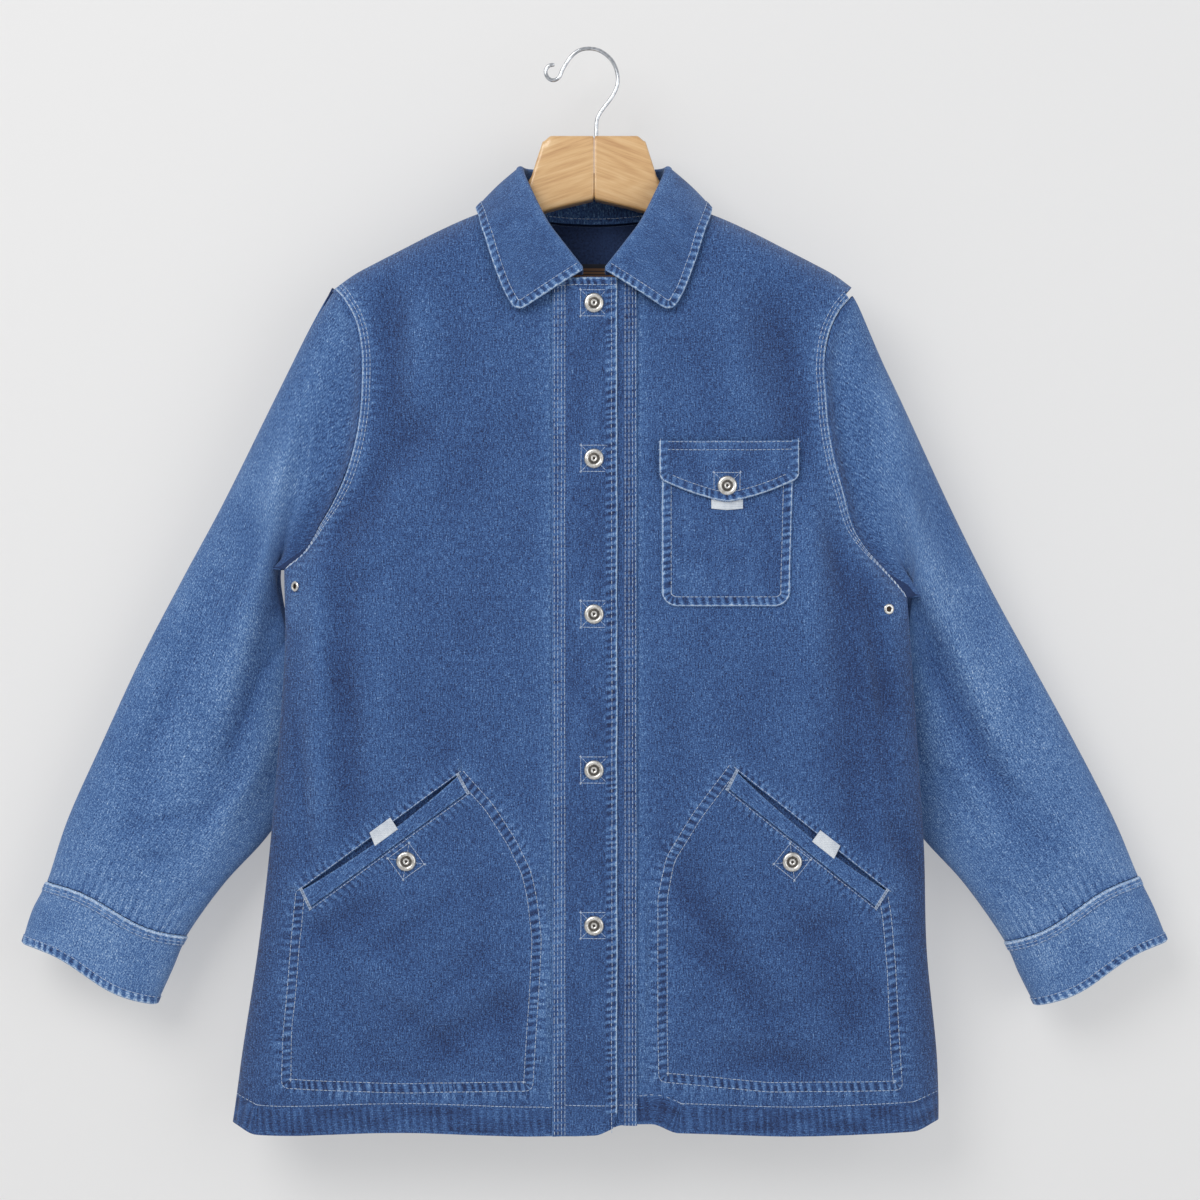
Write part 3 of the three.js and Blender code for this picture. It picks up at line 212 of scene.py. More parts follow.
# Half of the collar: angle on the neck, fold line (k), edge (q) and direction outwards (o)
COLLAR = Table(
    "s turn kx ky kz qx qy qz ox oy",
    (0, 7.4, 10, -50, -203, 68, -49, -240, 0.1, -1), (1, 26, 29, -51, -179, 80, -48, -219, 0.2, -1),
    (2, 48, 42, -46, -161, 90, -46, -192, 0.45, -0.9), (3, 70, 55, -32, -136, 99, -40, -164, 0.8, -0.6),
    (4, 90, 66, -6, -109, 104, -8, -143, 1, 0), (5, 132, 57, 22, -106, 90, 37, -152, 0.6, 0.8),
    (6, 180, 0, 31, -108, 0, 41, -172, 0, 1),
)
COLLAR_MIDDLE, COLLAR_END = 6, 12  # s at the middle of the back and at the far end
COLLAR_FOLD, COLLAR_CLEAR = 2.6, 1.9  # radius of the fold, and distance of the stand from the neck
STAND_END, FOLD_END = 0.26, 0.4  # shares of the collar's width taken by the stand and by the fold

HIP = {  # corners of the pocket mouths: upper side, upper middle, lower middle, lower side
    "right": ((-259, -746), (-119, -645), (-110.4, -661), (-250.4, -763.5)),
    "left": ((259, -747.4), (125, -641.7), (117, -657.7), (248.7, -763.2)),
}
MOUTH_HEIGHT = 18
WELT_GAP = 5  # how far the welt's edge sags below the mouth's
WELT_TOP = 1.1
BAG_SINK = 2  # how far the bag lies behind the front, so that the front's folds don't reach it
HIP_SNAP = {"right": (-165.2, -721.8), "left": (174.4, -722.3)}
HIP_TAB_AT = {"right": 0.52, "left": 0.4}
HIP_BAG = Table(
    "z right_out right_in left_out left_in",
    (-928, -277, -54, 273, 57), (-876, -274, -50, 268, 56), (-832, -271, -47, 265, 55),
    (-790, -267, -46, 262, 55),
    (-755, -264, -49, 261, 56), (-731, -242, -56, 241, 62), (-703, -203, -68, 206, 73),
    (-671, -159, -88, 166, 94),
    (-640, -120, -113, 127, 118),
)
# Outer row of stitches that holds each hip bag, from the mouth's middle end down and round to its side end
BAG_ROWS = {
    "right": (
        (-115, -642), (-89, -671), (-68.5, -703), (-55, -731), (-50, -755), (-46, -790), (-48, -832),
        (-51, -876), (-54, -925), (-165, -927), (-276, -923), (-275, -880), (-271, -840), (-267, -790),
        (-263, -750),
    ),
    "left": (
        (119, -637), (86.5, -680), (63.3, -719), (56, -753), (56, -798), (56, -867), (57, -917), (155, -926),
        (273, -925), (269, -872), (266, -815), (262, -770), (259, -753),
    ),
}
CHEST = {"left": 59, "right": 176, "top": -362, "bottom": -498, "corner": 14}
FLAP = {
    "left": 57, "right": 180, "top": -352, "shoulder": -386, "tip": -406, "snap_z": -391.6, "middle": 117,
    "corner": 5,
}
CHEST_TAB = {"left": 103, "right": 131, "top": -398, "bottom": -413}
LABEL = {"half": 31, "top": -187, "bottom": -221}
PLACKETS = {
    "right": {"from": -37, "to": 20.5, "top": -208, "corner": 8},
    "left": {"from": -14, "to": 38, "top": -209, "corner": 0},
}
SNAP_FIRST, SNAP_PITCH, SNAP_COUNT = -231, 136.7, 5
EYELET_AT = {"right": (-264, -480), "left": (260, -500)}

HANGER_THICK = 23
BLOCK_HALF, BLOCK_TOP, FLARE, FLARE_Z = 46, -77, 56, -113
HANGER_BOTTOM = Table("x z", (0, -134), (50, -147), (100, -168), (150, -195), (216, -231))
WIRE = 1.8
HOOK_PATH = (
    (2, -76.5), (2, -70), (2.6, -62), (5, -56), (10, -49), (16, -41), (20, -33), (21.3, -26), (20.3, -18),
    (16.6, -9.5), (11, -3.4), (4.6, 0.6), (-2, 2.2), (-9, 2), (-15, -0.2), (-20.5, -4.8), (-25, -11),
    (-28.5, -17),
    (-30.8, -22.6), (-34, -25.4), (-37.6, -26), (-41, -24.2), (-43.2, -20.4), (-43, -16.2), (-40, -13),
    (-35.6, -12),
)


# Smooth noise from -1 to 1; u and v count cells
LATTICE_SIZE = 97
LATTICE = np.random.default_rng(7).random((LATTICE_SIZE, LATTICE_SIZE)) * 2 - 1


def noise(u, v, layer=0):
    """Value noise; each layer reads another part of the lattice."""
    u, v = np.asarray(u) + 13.7 * layer, np.asarray(v) + 29.3 * layer
    i, j = np.floor(u).astype(int), np.floor(v).astype(int)
    s, t = smooth(u - i), smooth(v - j)
    pick = lambda a, b: LATTICE[a % LATTICE_SIZE, b % LATTICE_SIZE]
    return mix(mix(pick(i, j), pick(i + 1, j), s), mix(pick(i, j + 1), pick(i + 1, j + 1), s), t)


def fold_depth(folds, x, z):
    total = np.zeros(np.broadcast(x, z).shape)
    for x0, z0, x1, z1, width, depth in folds:
        length = math.hypot(x1 - x0, z1 - z0)
        along = ((x - x0) * (x1 - x0) + (z - z0) * (z1 - z0)) / length**2
        across = ((x - x0) * (z1 - z0) - (z - z0) * (x1 - x0)) / length
        ends = smooth(0.5 + 2.5 * along) * smooth(3 - 2.5 * along)
        total = total + depth * bell(across, width) * ends
    return total


# Body: the same rounded front and back as the solids, with finer creases
def by_side(x, right, left):
    return np.where(np.asarray(x) < 0, right, left)


def edge_x(side, z):
    f = clamp01((z - UNDERARM[side]) / (TIP[side][1] - UNDERARM[side]))
    return np.where(z < UNDERARM[side], SIDE_SEAM(side, z), ARMHOLE(side, f))


def inset_of(x, z):
    return by_side(x, x - edge_x("right", z), edge_x("left", z) - x)


def openness(x, z):
    f = [(z - UNDERARM[side]) / (TIP[side][1] - UNDERARM[side]) for side in SIDES]
    return 0.78 * smooth(by_side(x, *f) / 0.42)


def quarter(s, e=0.0):
    return np.sqrt(np.maximum(0, 1 - (1 - e * e) * (1 - clamp01(s)) ** 2))


def shoulder_z(x):
    return SHOULDER("z", np.abs(x))


def neck_z(face, x):
    level = np.sqrt(np.maximum(0, 1 - (np.asarray(x) / NECK_HALF) ** 2))
    if face == "front":
        return mix(NECK_SIDE_Z, NECK_FRONT_Z, level**0.85)
    return mix(NECK_SIDE_Z, NECK_BACK_Z, level)


def body_y(face, x, z, fine=True):
    inset = inset_of(x, z)
    top = quarter((shoulder_z(x) - z) / SHOULDER_ROUND)
    seam, stand = DEPTH("seam", z), DEPTH(face, z)
    e = openness(x, z)
    fade = smooth(inset / 30) * top
    creases = crumple(face, x, z, inset) if fine else 0
    if face == "front":
        folds = fold_depth(FRONT_FOLDS, x, z) + creases
        return seam - stand * quarter(inset / SIDE_ROUND, e) * top + folds * fade
    rise = BACK_EDGE_RISE / stand
    low = rise * quarter(inset / BACK_EDGE_WIDTH) + (1 - rise) * smooth(inset / BACK_ROUND)
    shape = mix(low, quarter(inset / SIDE_ROUND, e), smooth(e / 0.5)) * top
    return seam + stand * shape - (fold_depth(BACK_FOLDS, x, z) + creases) * fade


def crumple(face, x, z, inset):
    """Small creases: named ones, a soft unevenness, and gathers beside the armhole and the button bands."""
    layer = 0 if face == "front" else 5
    soft = 0.75 * noise(x / 31, z / 58, layer) + 0.35 * noise(x / 13, z / 24, layer + 1)
    turns = 2 * np.pi * z / 15 + 2.5 * noise(z / 22, 0.3, layer + 2)
    gathers = 0.7 * fall(inset, 13) * np.sin(turns) * smooth(inset / 4)
    named = fold_depth(FRONT_CREASES if face == "front" else BACK_CREASES, x, z)
    if face == "front":
        beside = np.minimum(np.abs(x + 40), np.abs(x - 41))
        turns = 2 * np.pi * z / 12 + 3 * noise(z / 19, 0.7, 3)
        gathers = gathers + 0.45 * fall(beside, 9) * np.sin(turns)
    return named + soft + gathers


def hem_z(x):
    edge = np.abs(by_side(x, SIDE_SEAM("right", HEM_Z), SIDE_SEAM("left", HEM_Z)))
    corner = 7 * (1 - smooth((edge - np.abs(x)) / 25))
    short = 8 * smooth(x / PANEL_END["left"]) * (1 - smooth((x - 50) / 25))
    return HEM_Z + corner + short + 1.5 * np.sin(x / 37)


# Where a panel's columns and rows go: more of them near the side edge, the shoulder and the hem
EDGE_COLUMNS, EDGE_WIDTH = 0.36, 0.26
TOP_ROWS, TOP_HEIGHT = 0.4, 0.16
LOW_ROWS = 0.55  # share of the rows below the armhole
HEM_SHARE = 0.08  # share of those in the hem
UNDER_MIDDLE = (UNDERARM["right"] + UNDERARM["left"]) / 2


def column_share(a):
    round_part = EDGE_WIDTH * (1 - np.cos(np.pi / 2 * np.minimum(1, a / EDGE_COLUMNS)))
    return np.where(a < EDGE_COLUMNS, round_part, mix(EDGE_WIDTH, 1, (a - EDGE_COLUMNS) / (1 - EDGE_COLUMNS)))


def row_share(b):
    round_part = 1 - TOP_HEIGHT * (1 - np.cos(np.pi / 2 * np.minimum(1, (1 - b) / TOP_ROWS)))
    return np.where(b > 1 - TOP_ROWS, round_part, (1 - TOP_HEIGHT) * b / (1 - TOP_ROWS))


def half_place(side, face, a, b):
    """Place on half of the body: a runs from the side edge to the middle, b from the hem to the top."""
    share = column_share(a)
    middle = PANEL_END[side] if face == "front" else 0
    under = mix(UNDERARM[side], UNDER_MIDDLE, share)
    t = b / LOW_ROWS
    hem = hem_z(mix(edge_x(side, HEM_Z), middle, share))
    above_hem = mix(hem + HEM_DEPTH, under, (t - HEM_SHARE) / (1 - HEM_SHARE))
    low_z = np.where(t < HEM_SHARE, hem + HEM_DEPTH * t / HEM_SHARE, above_hem)
    low_x = mix(edge_x(side, np.minimum(low_z, UNDERARM[side] - 1e-6)), middle, share)
    f = row_share(clamp01((b - LOW_ROWS) / (1 - LOW_ROWS)))
    tip_x, tip_z = TIP[side]
    top_x = mix(tip_x, middle, share)
    top_z = np.where(np.abs(top_x) > NECK_HALF, shoulder_z(top_x), neck_z(face, top_x))
    mid_top = neck_z(face, middle)
    straight = mix(mix(UNDERARM[side], tip_z, f), mix(UNDER_MIDDLE, mid_top, f), share)
    high_x = mix(ARMHOLE(side, f), middle, share)
    high_z = straight + f * (top_z - mix(tip_z, mid_top, share))
    low = b <= LOW_ROWS
    return np.where(low, low_x, high_x), np.where(low, low_z, high_z)


def unit(vectors):
    return vectors / np.maximum(1e-12, np.linalg.norm(vectors, axis=-1, keepdims=True))


class Surface:
    """A cloth surface: at(a, b, out) gives points that stand out from it along its normal."""

    def __init__(self, point, step, facing=1):
        self.point, self.step, self.facing = point, step, facing

    def slopes(self, a, b):
        sa, sb = self.step
        along_a = (self.point(a + sa, b) - self.point(a - sa, b)) / (2 * sa)
        along_b = (self.point(a, b + sb) - self.point(a, b - sb)) / (2 * sb)
        return along_a, along_b

    def normal(self, a, b):
        return self.facing * unit(np.cross(*self.slopes(a, b)))

    def at(self, a, b, out=0.0):
        a, b, out = np.broadcast_arrays(np.asarray(a, float), np.asarray(b, float), np.asarray(out, float))
        return self.point(a, b) + out[..., None] * self.normal(a, b)


def face_point(face, fine=True):
    return lambda x, z: np.stack([x, body_y(face, x, z, fine), z], -1)


FRONT = Surface(face_point("front"), (0.4, 0.4), 1)
BACK = Surface(face_point("back"), (0.4, 0.4), -1)
FRONT_LINE = Surface(face_point("front", False), (2, 2), 1)


def band_climb(x):
    """The upper button band starts on the front and climbs over the lower one."""
    return SEAM_GAP + (DOUBLE + SEAM_GAP) * clamp01((x - PANEL_END["right"]) / (STEP_UP - PANEL_END["right"]))


def sleeve_point(side):
    def point(v, turn):
        c = (1 - np.cos(2 * np.pi * turn)) / 2
        tip_x, tip_z = TIP[side]
        loop_z = mix(tip_z, UNDERARM[side], c)
        loop_x = ARMHOLE(side, 1 - c)
        near_x = loop_x - SIGN[side] * 0.01
        wrapped = np.mod(turn, 1.0)
        faces = [body_y(face, near_x, loop_z) for face in ("front", "back")]
        loop_y = np.where(wrapped <= 0.5, *faces)
        row = lambda column: SLEEVE[side](column, v)
        near = 1 - smooth(v / 2.4)
        x = mix(row("ox"), row("ix"), c) + near * (loop_x - mix(tip_x, ARMHOLE(side, 0.0), c))
        z = mix(row("oz"), row("iz"), c) + near * (loop_z - mix(tip_z, UNDERARM[side], c))
        around = np.sin(2 * np.pi * turn)
        tuck = TUCK_BACK * smooth(v / 1.5) * smooth((7.5 - v) / 2.5)
        middle = (row("front") + row("back")) / 2 + tuck * c**1.5
        half = (row("back") - row("front")) / 2 * (1 - tuck / TUCK_BACK * TUCK_THIN * c)
        flat_y = middle - half * np.sign(around) * np.abs(around) ** 0.8
        depth, at, width = ARMHOLE_DIP
        dip = depth * bell(v - at, width) * smooth(v / 0.3)
        window = smooth(v - 0.6) * smooth((7.6 - v) / 2)
        front = np.maximum(0, around)
        folds = fold_depth(SLEEVE_FOLDS, x, z) * window * front
        y = mix(flat_y, loop_y, 1 - smooth(v / 1.6)) + dip * front**2 + folds
        soft = 0.9 * noise(x / 26, z / 44, 9) + 0.45 * noise(x / 11, z / 17, 10)
        gathers = 0.9 * np.exp(-v / 0.35) * np.sin(2 * np.pi * c * 19 + 2 * noise(c * 9, 0.5, 12))
        turns = 2 * np.pi * c * 13 + 2 * noise(c * 7, 0.5, 14)
        puckers = 0.8 * fall(v - CUFF_FROM, 0.35) * np.sin(turns)
        creases = fold_depth(SLEEVE_CREASES, x, z) * smooth((CUFF_FROM - v) / 0.6)
        y = y + (creases + gathers + puckers + soft) * around * smooth(v / 0.5)
        wave = CUFF_WAVE * np.sin(2 * np.pi * c) * smooth((v - 5) / 3)
        axis = np.stack([row("iz") - row("oz"), row("ox") - row("ix")], -1)
        axis = unit(axis) * np.where(axis[..., 1:] > 0, 1.0, -1.0)
        return np.stack([x + axis[..., 0] * wave, y, z + axis[..., 1] * wave], -1)

    return point


SLEEVES = {side: Surface(sleeve_point(side), (0.004, 0.0008), -SIGN[side]) for side in SIDES}


def neck_point(turn):
    x = NECK_HALF * np.sin(np.radians(turn))
    front = turn <= 90
    z = np.where(front, neck_z("front", x), neck_z("back", x))
    faces = [body_y(face, x, z, False) for face in ("front", "back")]
    y = np.where(front, faces[0] + CLOTH / 2, faces[1] - CLOTH / 2)
    return np.stack([x, y, z], -1)


def collar_point(s, q):
    """s runs round the neck between the front ends, q from the neck seam over the fold to the edge."""
    own = np.where(s > COLLAR_MIDDLE, COLLAR_END - s, s)
    row = lambda column: COLLAR(column, own)
    fold = np.stack([row("kx"), row("ky"), row("kz")], -1)
    edge = np.stack([row("qx"), row("qy"), row("qz")], -1)
    out = unit(np.stack([row("ox"), row("oy"), 0 * own], -1))
    up = np.array([0.0, 0.0, 1.0])
    inside, outside = fold - COLLAR_FOLD * out, fold + COLLAR_FOLD * out
    neck = neck_point(row("turn"))
    seam = neck + COLLAR_CLEAR * unit(inside - neck)
    q = np.asarray(q)[..., None]
    stand = mix(seam, inside, clamp01(q / STAND_END))
    angle = np.pi * (1 - clamp01((q - STAND_END) / (FOLD_END - STAND_END)))
    arc = fold + COLLAR_FOLD * (np.cos(angle) * out + 0.9 * np.sin(angle) * up)
    t = clamp01((q - FOLD_END) / (1 - FOLD_END))
    wave = 0.8 * noise(s[..., None] * 2.3, t * 2, 20) * t
    leaf = mix(outside, edge, t) + (3 * np.sin(np.pi * t) + wave) * out
    p = np.where(q <= STAND_END, stand, np.where(q <= FOLD_END, arc, leaf))
    return p * np.stack([np.where(s > COLLAR_MIDDLE, 1.0, -1.0), 0 * s + 1, 0 * s + 1], -1)


COLLAR_SURFACE = Surface(collar_point, (0.01, 0.004), 1)


# Meshes
def add_attributes(mesh, cloth, wear, rope):
    """What the denim reads: cloth coordinates in metres, wear with painted shade and highlight from 0 to 1,
    phase and strength of puckers.
    """
    for name, pair in (("cloth", cloth), ("rope", rope)):
        layer = mesh.attributes.new(name, "FLOAT_VECTOR", "POINT")
        triples = np.column_stack([pair, 0 * pair[:, 0]]).astype(np.float32)
        layer.data.foreach_set("vector", triples.ravel())
    mesh.attributes.new("wear", "FLOAT", "POINT").data.foreach_set("value", np.asarray(wear, np.float32))


class Pile:
    """Collects grids and small solids, with their cloth coordinates, wear with painted shade and puckers,
    into one mesh.
    """

    def __init__(self):
        self.points, self.faces, self.cloth, self.wear, self.rope, self.slots = [], [], [], [], [], []
        self.count = 0

    def add(self, points, faces, cloth, wear, slot=0, rope=(0, 0)):
        points = np.asarray(points, float).reshape(-1, 3)
        self.points.append(points)
        self.cloth.append(np.broadcast_to(np.asarray(cloth, float), (len(points), 2)))
        self.wear.append(np.broadcast_to(np.asarray(wear, float).reshape(-1), (len(points),)))
        self.rope.append(np.broadcast_to(np.asarray(rope, float), (len(points), 2)))
        self.faces.append(np.asarray(faces) + self.count)
        self.slots.append(np.full(len(faces), slot))
        self.count += len(points)

    def grid(self, points, cloth, wear, wrap=False, flip=False, slot=0, rope=(0, 0)):
        rows, columns = points.shape[:2]
        across = columns if wrap else columns - 1
        r, c = np.meshgrid(np.arange(rows - 1) * columns, np.arange(across), indexing="ij")
        n = (c + 1) % columns
        faces = np.stack([r + c, r + n, r + columns + n, r + columns + c], -1).reshape(-1, 4)
        spread = lambda part: np.broadcast_to(part, points.shape[:2])
        flat = lambda pair: np.stack([spread(part) for part in pair], -1).reshape(-1, 2)
        self.add(points, faces[:, ::-1] if flip else faces, flat(cloth), spread(wear), slot, flat(rope))

    def shell(self, outer, inner, cloth, wear, wrap=False, inside=1, rope=(0, 0)):
        """A closed wall between two grids, with its outer faces turned away from the inner ones."""
        rows, columns = outer.shape[:2]
        r, c = rows // 2, columns // 2
        probe = np.cross(outer[r + 1, c + 1] - outer[r, c], outer[r + 1, c] - outer[r, c + 1])
        flip = np.dot(probe, outer[r, c] - inner[r, c]) < 0
        first = self.count
        self.grid(outer, cloth, wear, wrap, flip, rope=rope)
        self.grid(inner, cloth, wear, wrap, not flip, inside)
        rim = []
        size = rows * columns
        across = columns if wrap else columns - 1
        for r in (0, rows - 1):
            for c in range(across):
                a, b = r * columns + c, r * columns + (c + 1) % columns
                rim.append((a, b) if (r == 0) == flip else (b, a))
        if not wrap:
            for c in (0, columns - 1):
                for r in range(rows - 1):
                    a, b = r * columns + c, (r + 1) * columns + c
                    rim.append((b, a) if (c == 0) == flip else (a, b))
        self.faces.append(np.array([(a, b, size + b, size + a) for a, b in rim]) + first)
        self.slots.append(np.zeros(len(rim), int))

    def cap(self, ring, cloth, turn):
        """Closes a ring of points with a strip of faces."""
        n = len(ring)
        faces = np.array([(k, k + 1, n - 2 - k, n - 1 - k) for k in range(n // 2 - 1)])
        self.add(ring, faces[:, ::-1] if turn else faces, cloth, 0.5)

    def build(self, name, *materials, body="root", sharp=40):
        faces = self.faces
        mesh = bpy.data.meshes.new(name)
        points = np.concatenate(self.points) * MM
        sizes = np.concatenate([np.full(len(f), f.shape[1]) for f in faces])
        mesh.vertices.add(len(points))
        mesh.vertices.foreach_set("co", points.astype(np.float32).ravel())
        corners = np.concatenate([f.ravel() for f in faces])
        mesh.loops.add(len(corners))
        mesh.loops.foreach_set("vertex_index", corners.astype(np.int32))
        mesh.polygons.add(len(sizes))
        starts = np.concatenate([[0], np.cumsum(sizes)[:-1]])
        mesh.polygons.foreach_set("loop_start", starts.astype(np.int32))
        mesh.polygons.foreach_set("material_index", np.concatenate(self.slots).astype(np.int32))
        mesh.polygons.foreach_set("use_smooth", np.ones(len(sizes), bool))
        mesh.update(calc_edges=True)
        mesh.validate()
        add_attributes(mesh, *[np.concatenate(parts) for parts in (self.cloth, self.wear, self.rope)])
        for material in materials:
            mesh.materials.append(material)
        mesh.set_sharp_from_angle(angle=math.radians(sharp))
        piece = bpy.data.objects.new(name, mesh)
        bpy.context.scene.collection.objects.link(piece)
        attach(piece, body)
        return piece


def dress(piece, slot, *nodes):
    """Hides the solids that the piece takes the place of, and returns the piece; slot is not used."""
    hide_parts(*nodes)
    return piece


def resample(surface, path, spacing):
    """Points along a path of parameters at even steps of real length; returns a, b and the length so far."""
    path = np.asarray(path, float)
    t = np.linspace(0, 1, len(path))
    fine = np.linspace(0, 1, max(400, 6 * len(path)))
    a, b = np.interp(fine, t, path[:, 0]), np.interp(fine, t, path[:, 1])
    p = surface.point(a, b)
    run = np.concatenate([[0], np.cumsum(np.linalg.norm(np.diff(p, axis=0), axis=1))])
    count = max(2, int(round(run[-1] / spacing)) + 1)
    along = np.linspace(0, run[-1], count)
    return np.interp(along, run, a), np.interp(along, run, b), along


def beside(surface, a, b, offset):
    """Parameters moved sideways on the surface; a positive offset is to the path's left, from outside."""
    slope_a, slope_b = surface.slopes(a, b)
    tangent = unit(slope_a * np.gradient(a)[:, None] + slope_b * np.gradient(b)[:, None])
    left = np.cross(surface.facing * unit(np.cross(slope_a, slope_b)), tangent)
    aa, ab, bb = (slope_a**2).sum(-1), (slope_a * slope_b).sum(-1), (slope_b**2).sum(-1)
    la, lb = (slope_a * left).sum(-1), (slope_b * left).sum(-1)
    det = aa * bb - ab * ab
    da, db = (bb * la - ab * lb) / det, (aa * lb - ab * la) / det
    return a + da * offset, b + db * offset


ROPE_PERIOD = 6.8  # length of one pucker
BAND_STEP = 1.3  # length of a seam band's faces
BAND_SINK = 0.5  # how deep a band's borders lie under the cloth


def rope_phase(along, offset, width, layer):
    """Turns of the puckers of a sewn edge; they lean across the band and are a little uneven."""
    return along / ROPE_PERIOD + 0.3 * offset / width + 0.45 * noise(along / 17, 0.5, layer)


def seam_band(
    pile, surface, path, start, stop,
    lift=0.0, rise=0.7, strength=0.3, wear=0.4, rope=1.0, crest=0.45, layer=30,
):
    """A raised strip of seam beside a path, between two offsets.

    lift is the height of the cloth under it and rise its own; strength is the puckers' height and rope their
    mark in the colour; crest is the paler wear of its edge at the start offset, and below 0 a painted shadow
    there.
    """
    a, b, along = resample(surface, path, BAND_STEP)
    width = abs(stop - start)
    inner = np.linspace(0.18, 0.86, max(4, int(width / 1.9)))
    shares = np.concatenate([[0.0, 0.05, 0.1], inner, [0.94, 1.0]])
    rows = []
    for share in shares:
        pa, pb = beside(surface, a, b, mix(start, stop, share))
        window = smooth(min(share / 0.12, (1 - share) / 0.2))
        phase = rope_phase(along, mix(start, stop, share), width, layer)
        uneven = 0.72 + 0.28 * noise(along / 8, share * 2, layer + 1)
        base = lift(pa) if callable(lift) else lift
        twist = np.sin(2 * np.pi * phase) * uneven
        out = base - BAND_SINK + (rise + BAND_SINK) * math.sqrt(window) + strength * twist * window
        points = surface.at(pa, pb, out)
        edge = crest * math.exp(-((share * width - 0.45) / 0.85) ** 2)
        marks = wear + edge + 0.1 * window * noise(along / 24, share * 3, layer + 2)
        rows.append((points, marks, phase, rope * window * uneven, 0 * along + mix(start, stop, share)))
    points, marks, phase, amount, offset = (np.stack(column, 1) for column in zip(*rows))
    cloth = (offset * MM + 0.37 * layer, np.broadcast_to(along[:, None] * MM, marks.shape))
    middle = len(along) // 2
    probe = np.cross(points[middle + 1, 3] - points[middle, 3], points[middle, 4] - points[middle, 3])
    flip = np.dot(probe, surface.normal(a, b)[middle]) > 0
    pile.grid(points, cloth, marks, flip=flip, rope=(phase, amount))


STITCH_RING = np.array([(1, 0), (0, 1), (-1, 0), (0, -1)], float)
STITCH_STATIONS = ((-0.5, 0.35), (-0.28, 1.0), (0.28, 1.0), (0.5, 0.35))


def stitch_faces():
    faces = []
    for k in range(len(STITCH_STATIONS) - 1):
        for c in range(4):
            faces.append((4 * k + c, 4 * k + (c + 1) % 4, 4 * k + 4 + (c + 1) % 4, 4 * k + 4 + c))
    last = 4 * (len(STITCH_STATIONS) - 1)
    return np.array(faces + [(3, 2, 1, 0), (last, last + 1, last + 2, last + 3)])


STITCH_FACES = stitch_faces()


def stitches(pile, surface, path, offset=0.0, height=0.75, pitch=None, seed=1):
    """A row of thread stitches beside a path; each one is a small bent bar that dips at its ends."""
    pitch = pitch or STITCH["pitch"]
    a, b, along = resample(surface, path, pitch)
    if offset:
        a, b = beside(surface, a, b, offset)
    centre = surface.at(a, b, height(a) if callable(height) else height)
    normal = surface.normal(a, b)
    tangent = unit(np.gradient(centre, axis=0))
    side = np.cross(normal, tangent)
    random = np.random.default_rng(seed)
    jitter = 1 + 0.12 * (random.random(len(along)) - 0.5)
    rings = []
    for share, swell in STITCH_STATIONS:
        reach = (share * STITCH["length"] * jitter)[:, None]
        middle = centre + tangent * reach - normal * (STITCH["dip"] * abs(share) * 2)
        for across, up in STITCH_RING:
            sideways, outward = side * across * STITCH["width"], normal * up * STITCH["height"]
            rings.append(middle + sideways * swell + outward * swell)
    points = np.stack(rings, 1)
    count, size = points.shape[:2]
    faces = (STITCH_FACES[None] + (np.arange(count) * size)[:, None, None]).reshape(-1, 4)
    tone = np.repeat(0.75 + 0.25 * random.random(count), size)
    pile.add(points, faces, (0, 0), tone)


def fine_steps(count, near):
    """Even steps from 0 to 1, with extra ones close to both ends."""
    extra = np.array([0.25, 0.6]) * near
    return np.unique(np.concatenate([np.linspace(0, 1, count), extra, [near], 1 - extra, [1 - near]]))


EDGE_ROUND = 1.3  # how far from a cut edge the cloth rounds off
FRAY = 1.2  # how far the paler wear of a cut edge reaches


def cut_from(shift):
    """Cloth coordinates of a piece cut upright, from another part of the cloth than its neighbours."""
    return lambda x, z: (x * MM + shift, z * MM)


def laid(pile, surface, place, u, v, low, high, cloth_at, wear, size, inside=1, rope=None):
    """A closed cloth piece on a surface with rounded edges; place(u, v) gives its parameters."""
    uu, vv = np.meshgrid(u, v)
    a, b = place(uu, vv)
    width, length = size
    border = np.minimum(np.minimum(uu, 1 - uu) * width, np.minimum(vv, 1 - vv) * length)
    low = low(a) if callable(low) else low
    high = high(a) if callable(high) else high
    rounding = (high - low) * 0.5 * (1 - quarter(border / EDGE_ROUND))
    outer, inner = surface.at(a, b, high - rounding), surface.at(a, b, low + rounding * 0.6)
    worn = wear(a, b) if callable(wear) else wear
    puckers = rope(a, b) if rope else (0, 0)
    worn = worn + 0.22 * fall(border, FRAY)
    pile.shell(outer, inner, cloth_at(a, b), worn, inside=inside, rope=puckers)


# Materials
def linear(r, g, b):
    convert = lambda v: v / 12.92 if v <= 0.04045 else ((v + 0.055) / 1.055) ** 2.4
    return (*[convert(v / 255) for v in (r, g, b)], 1.0)


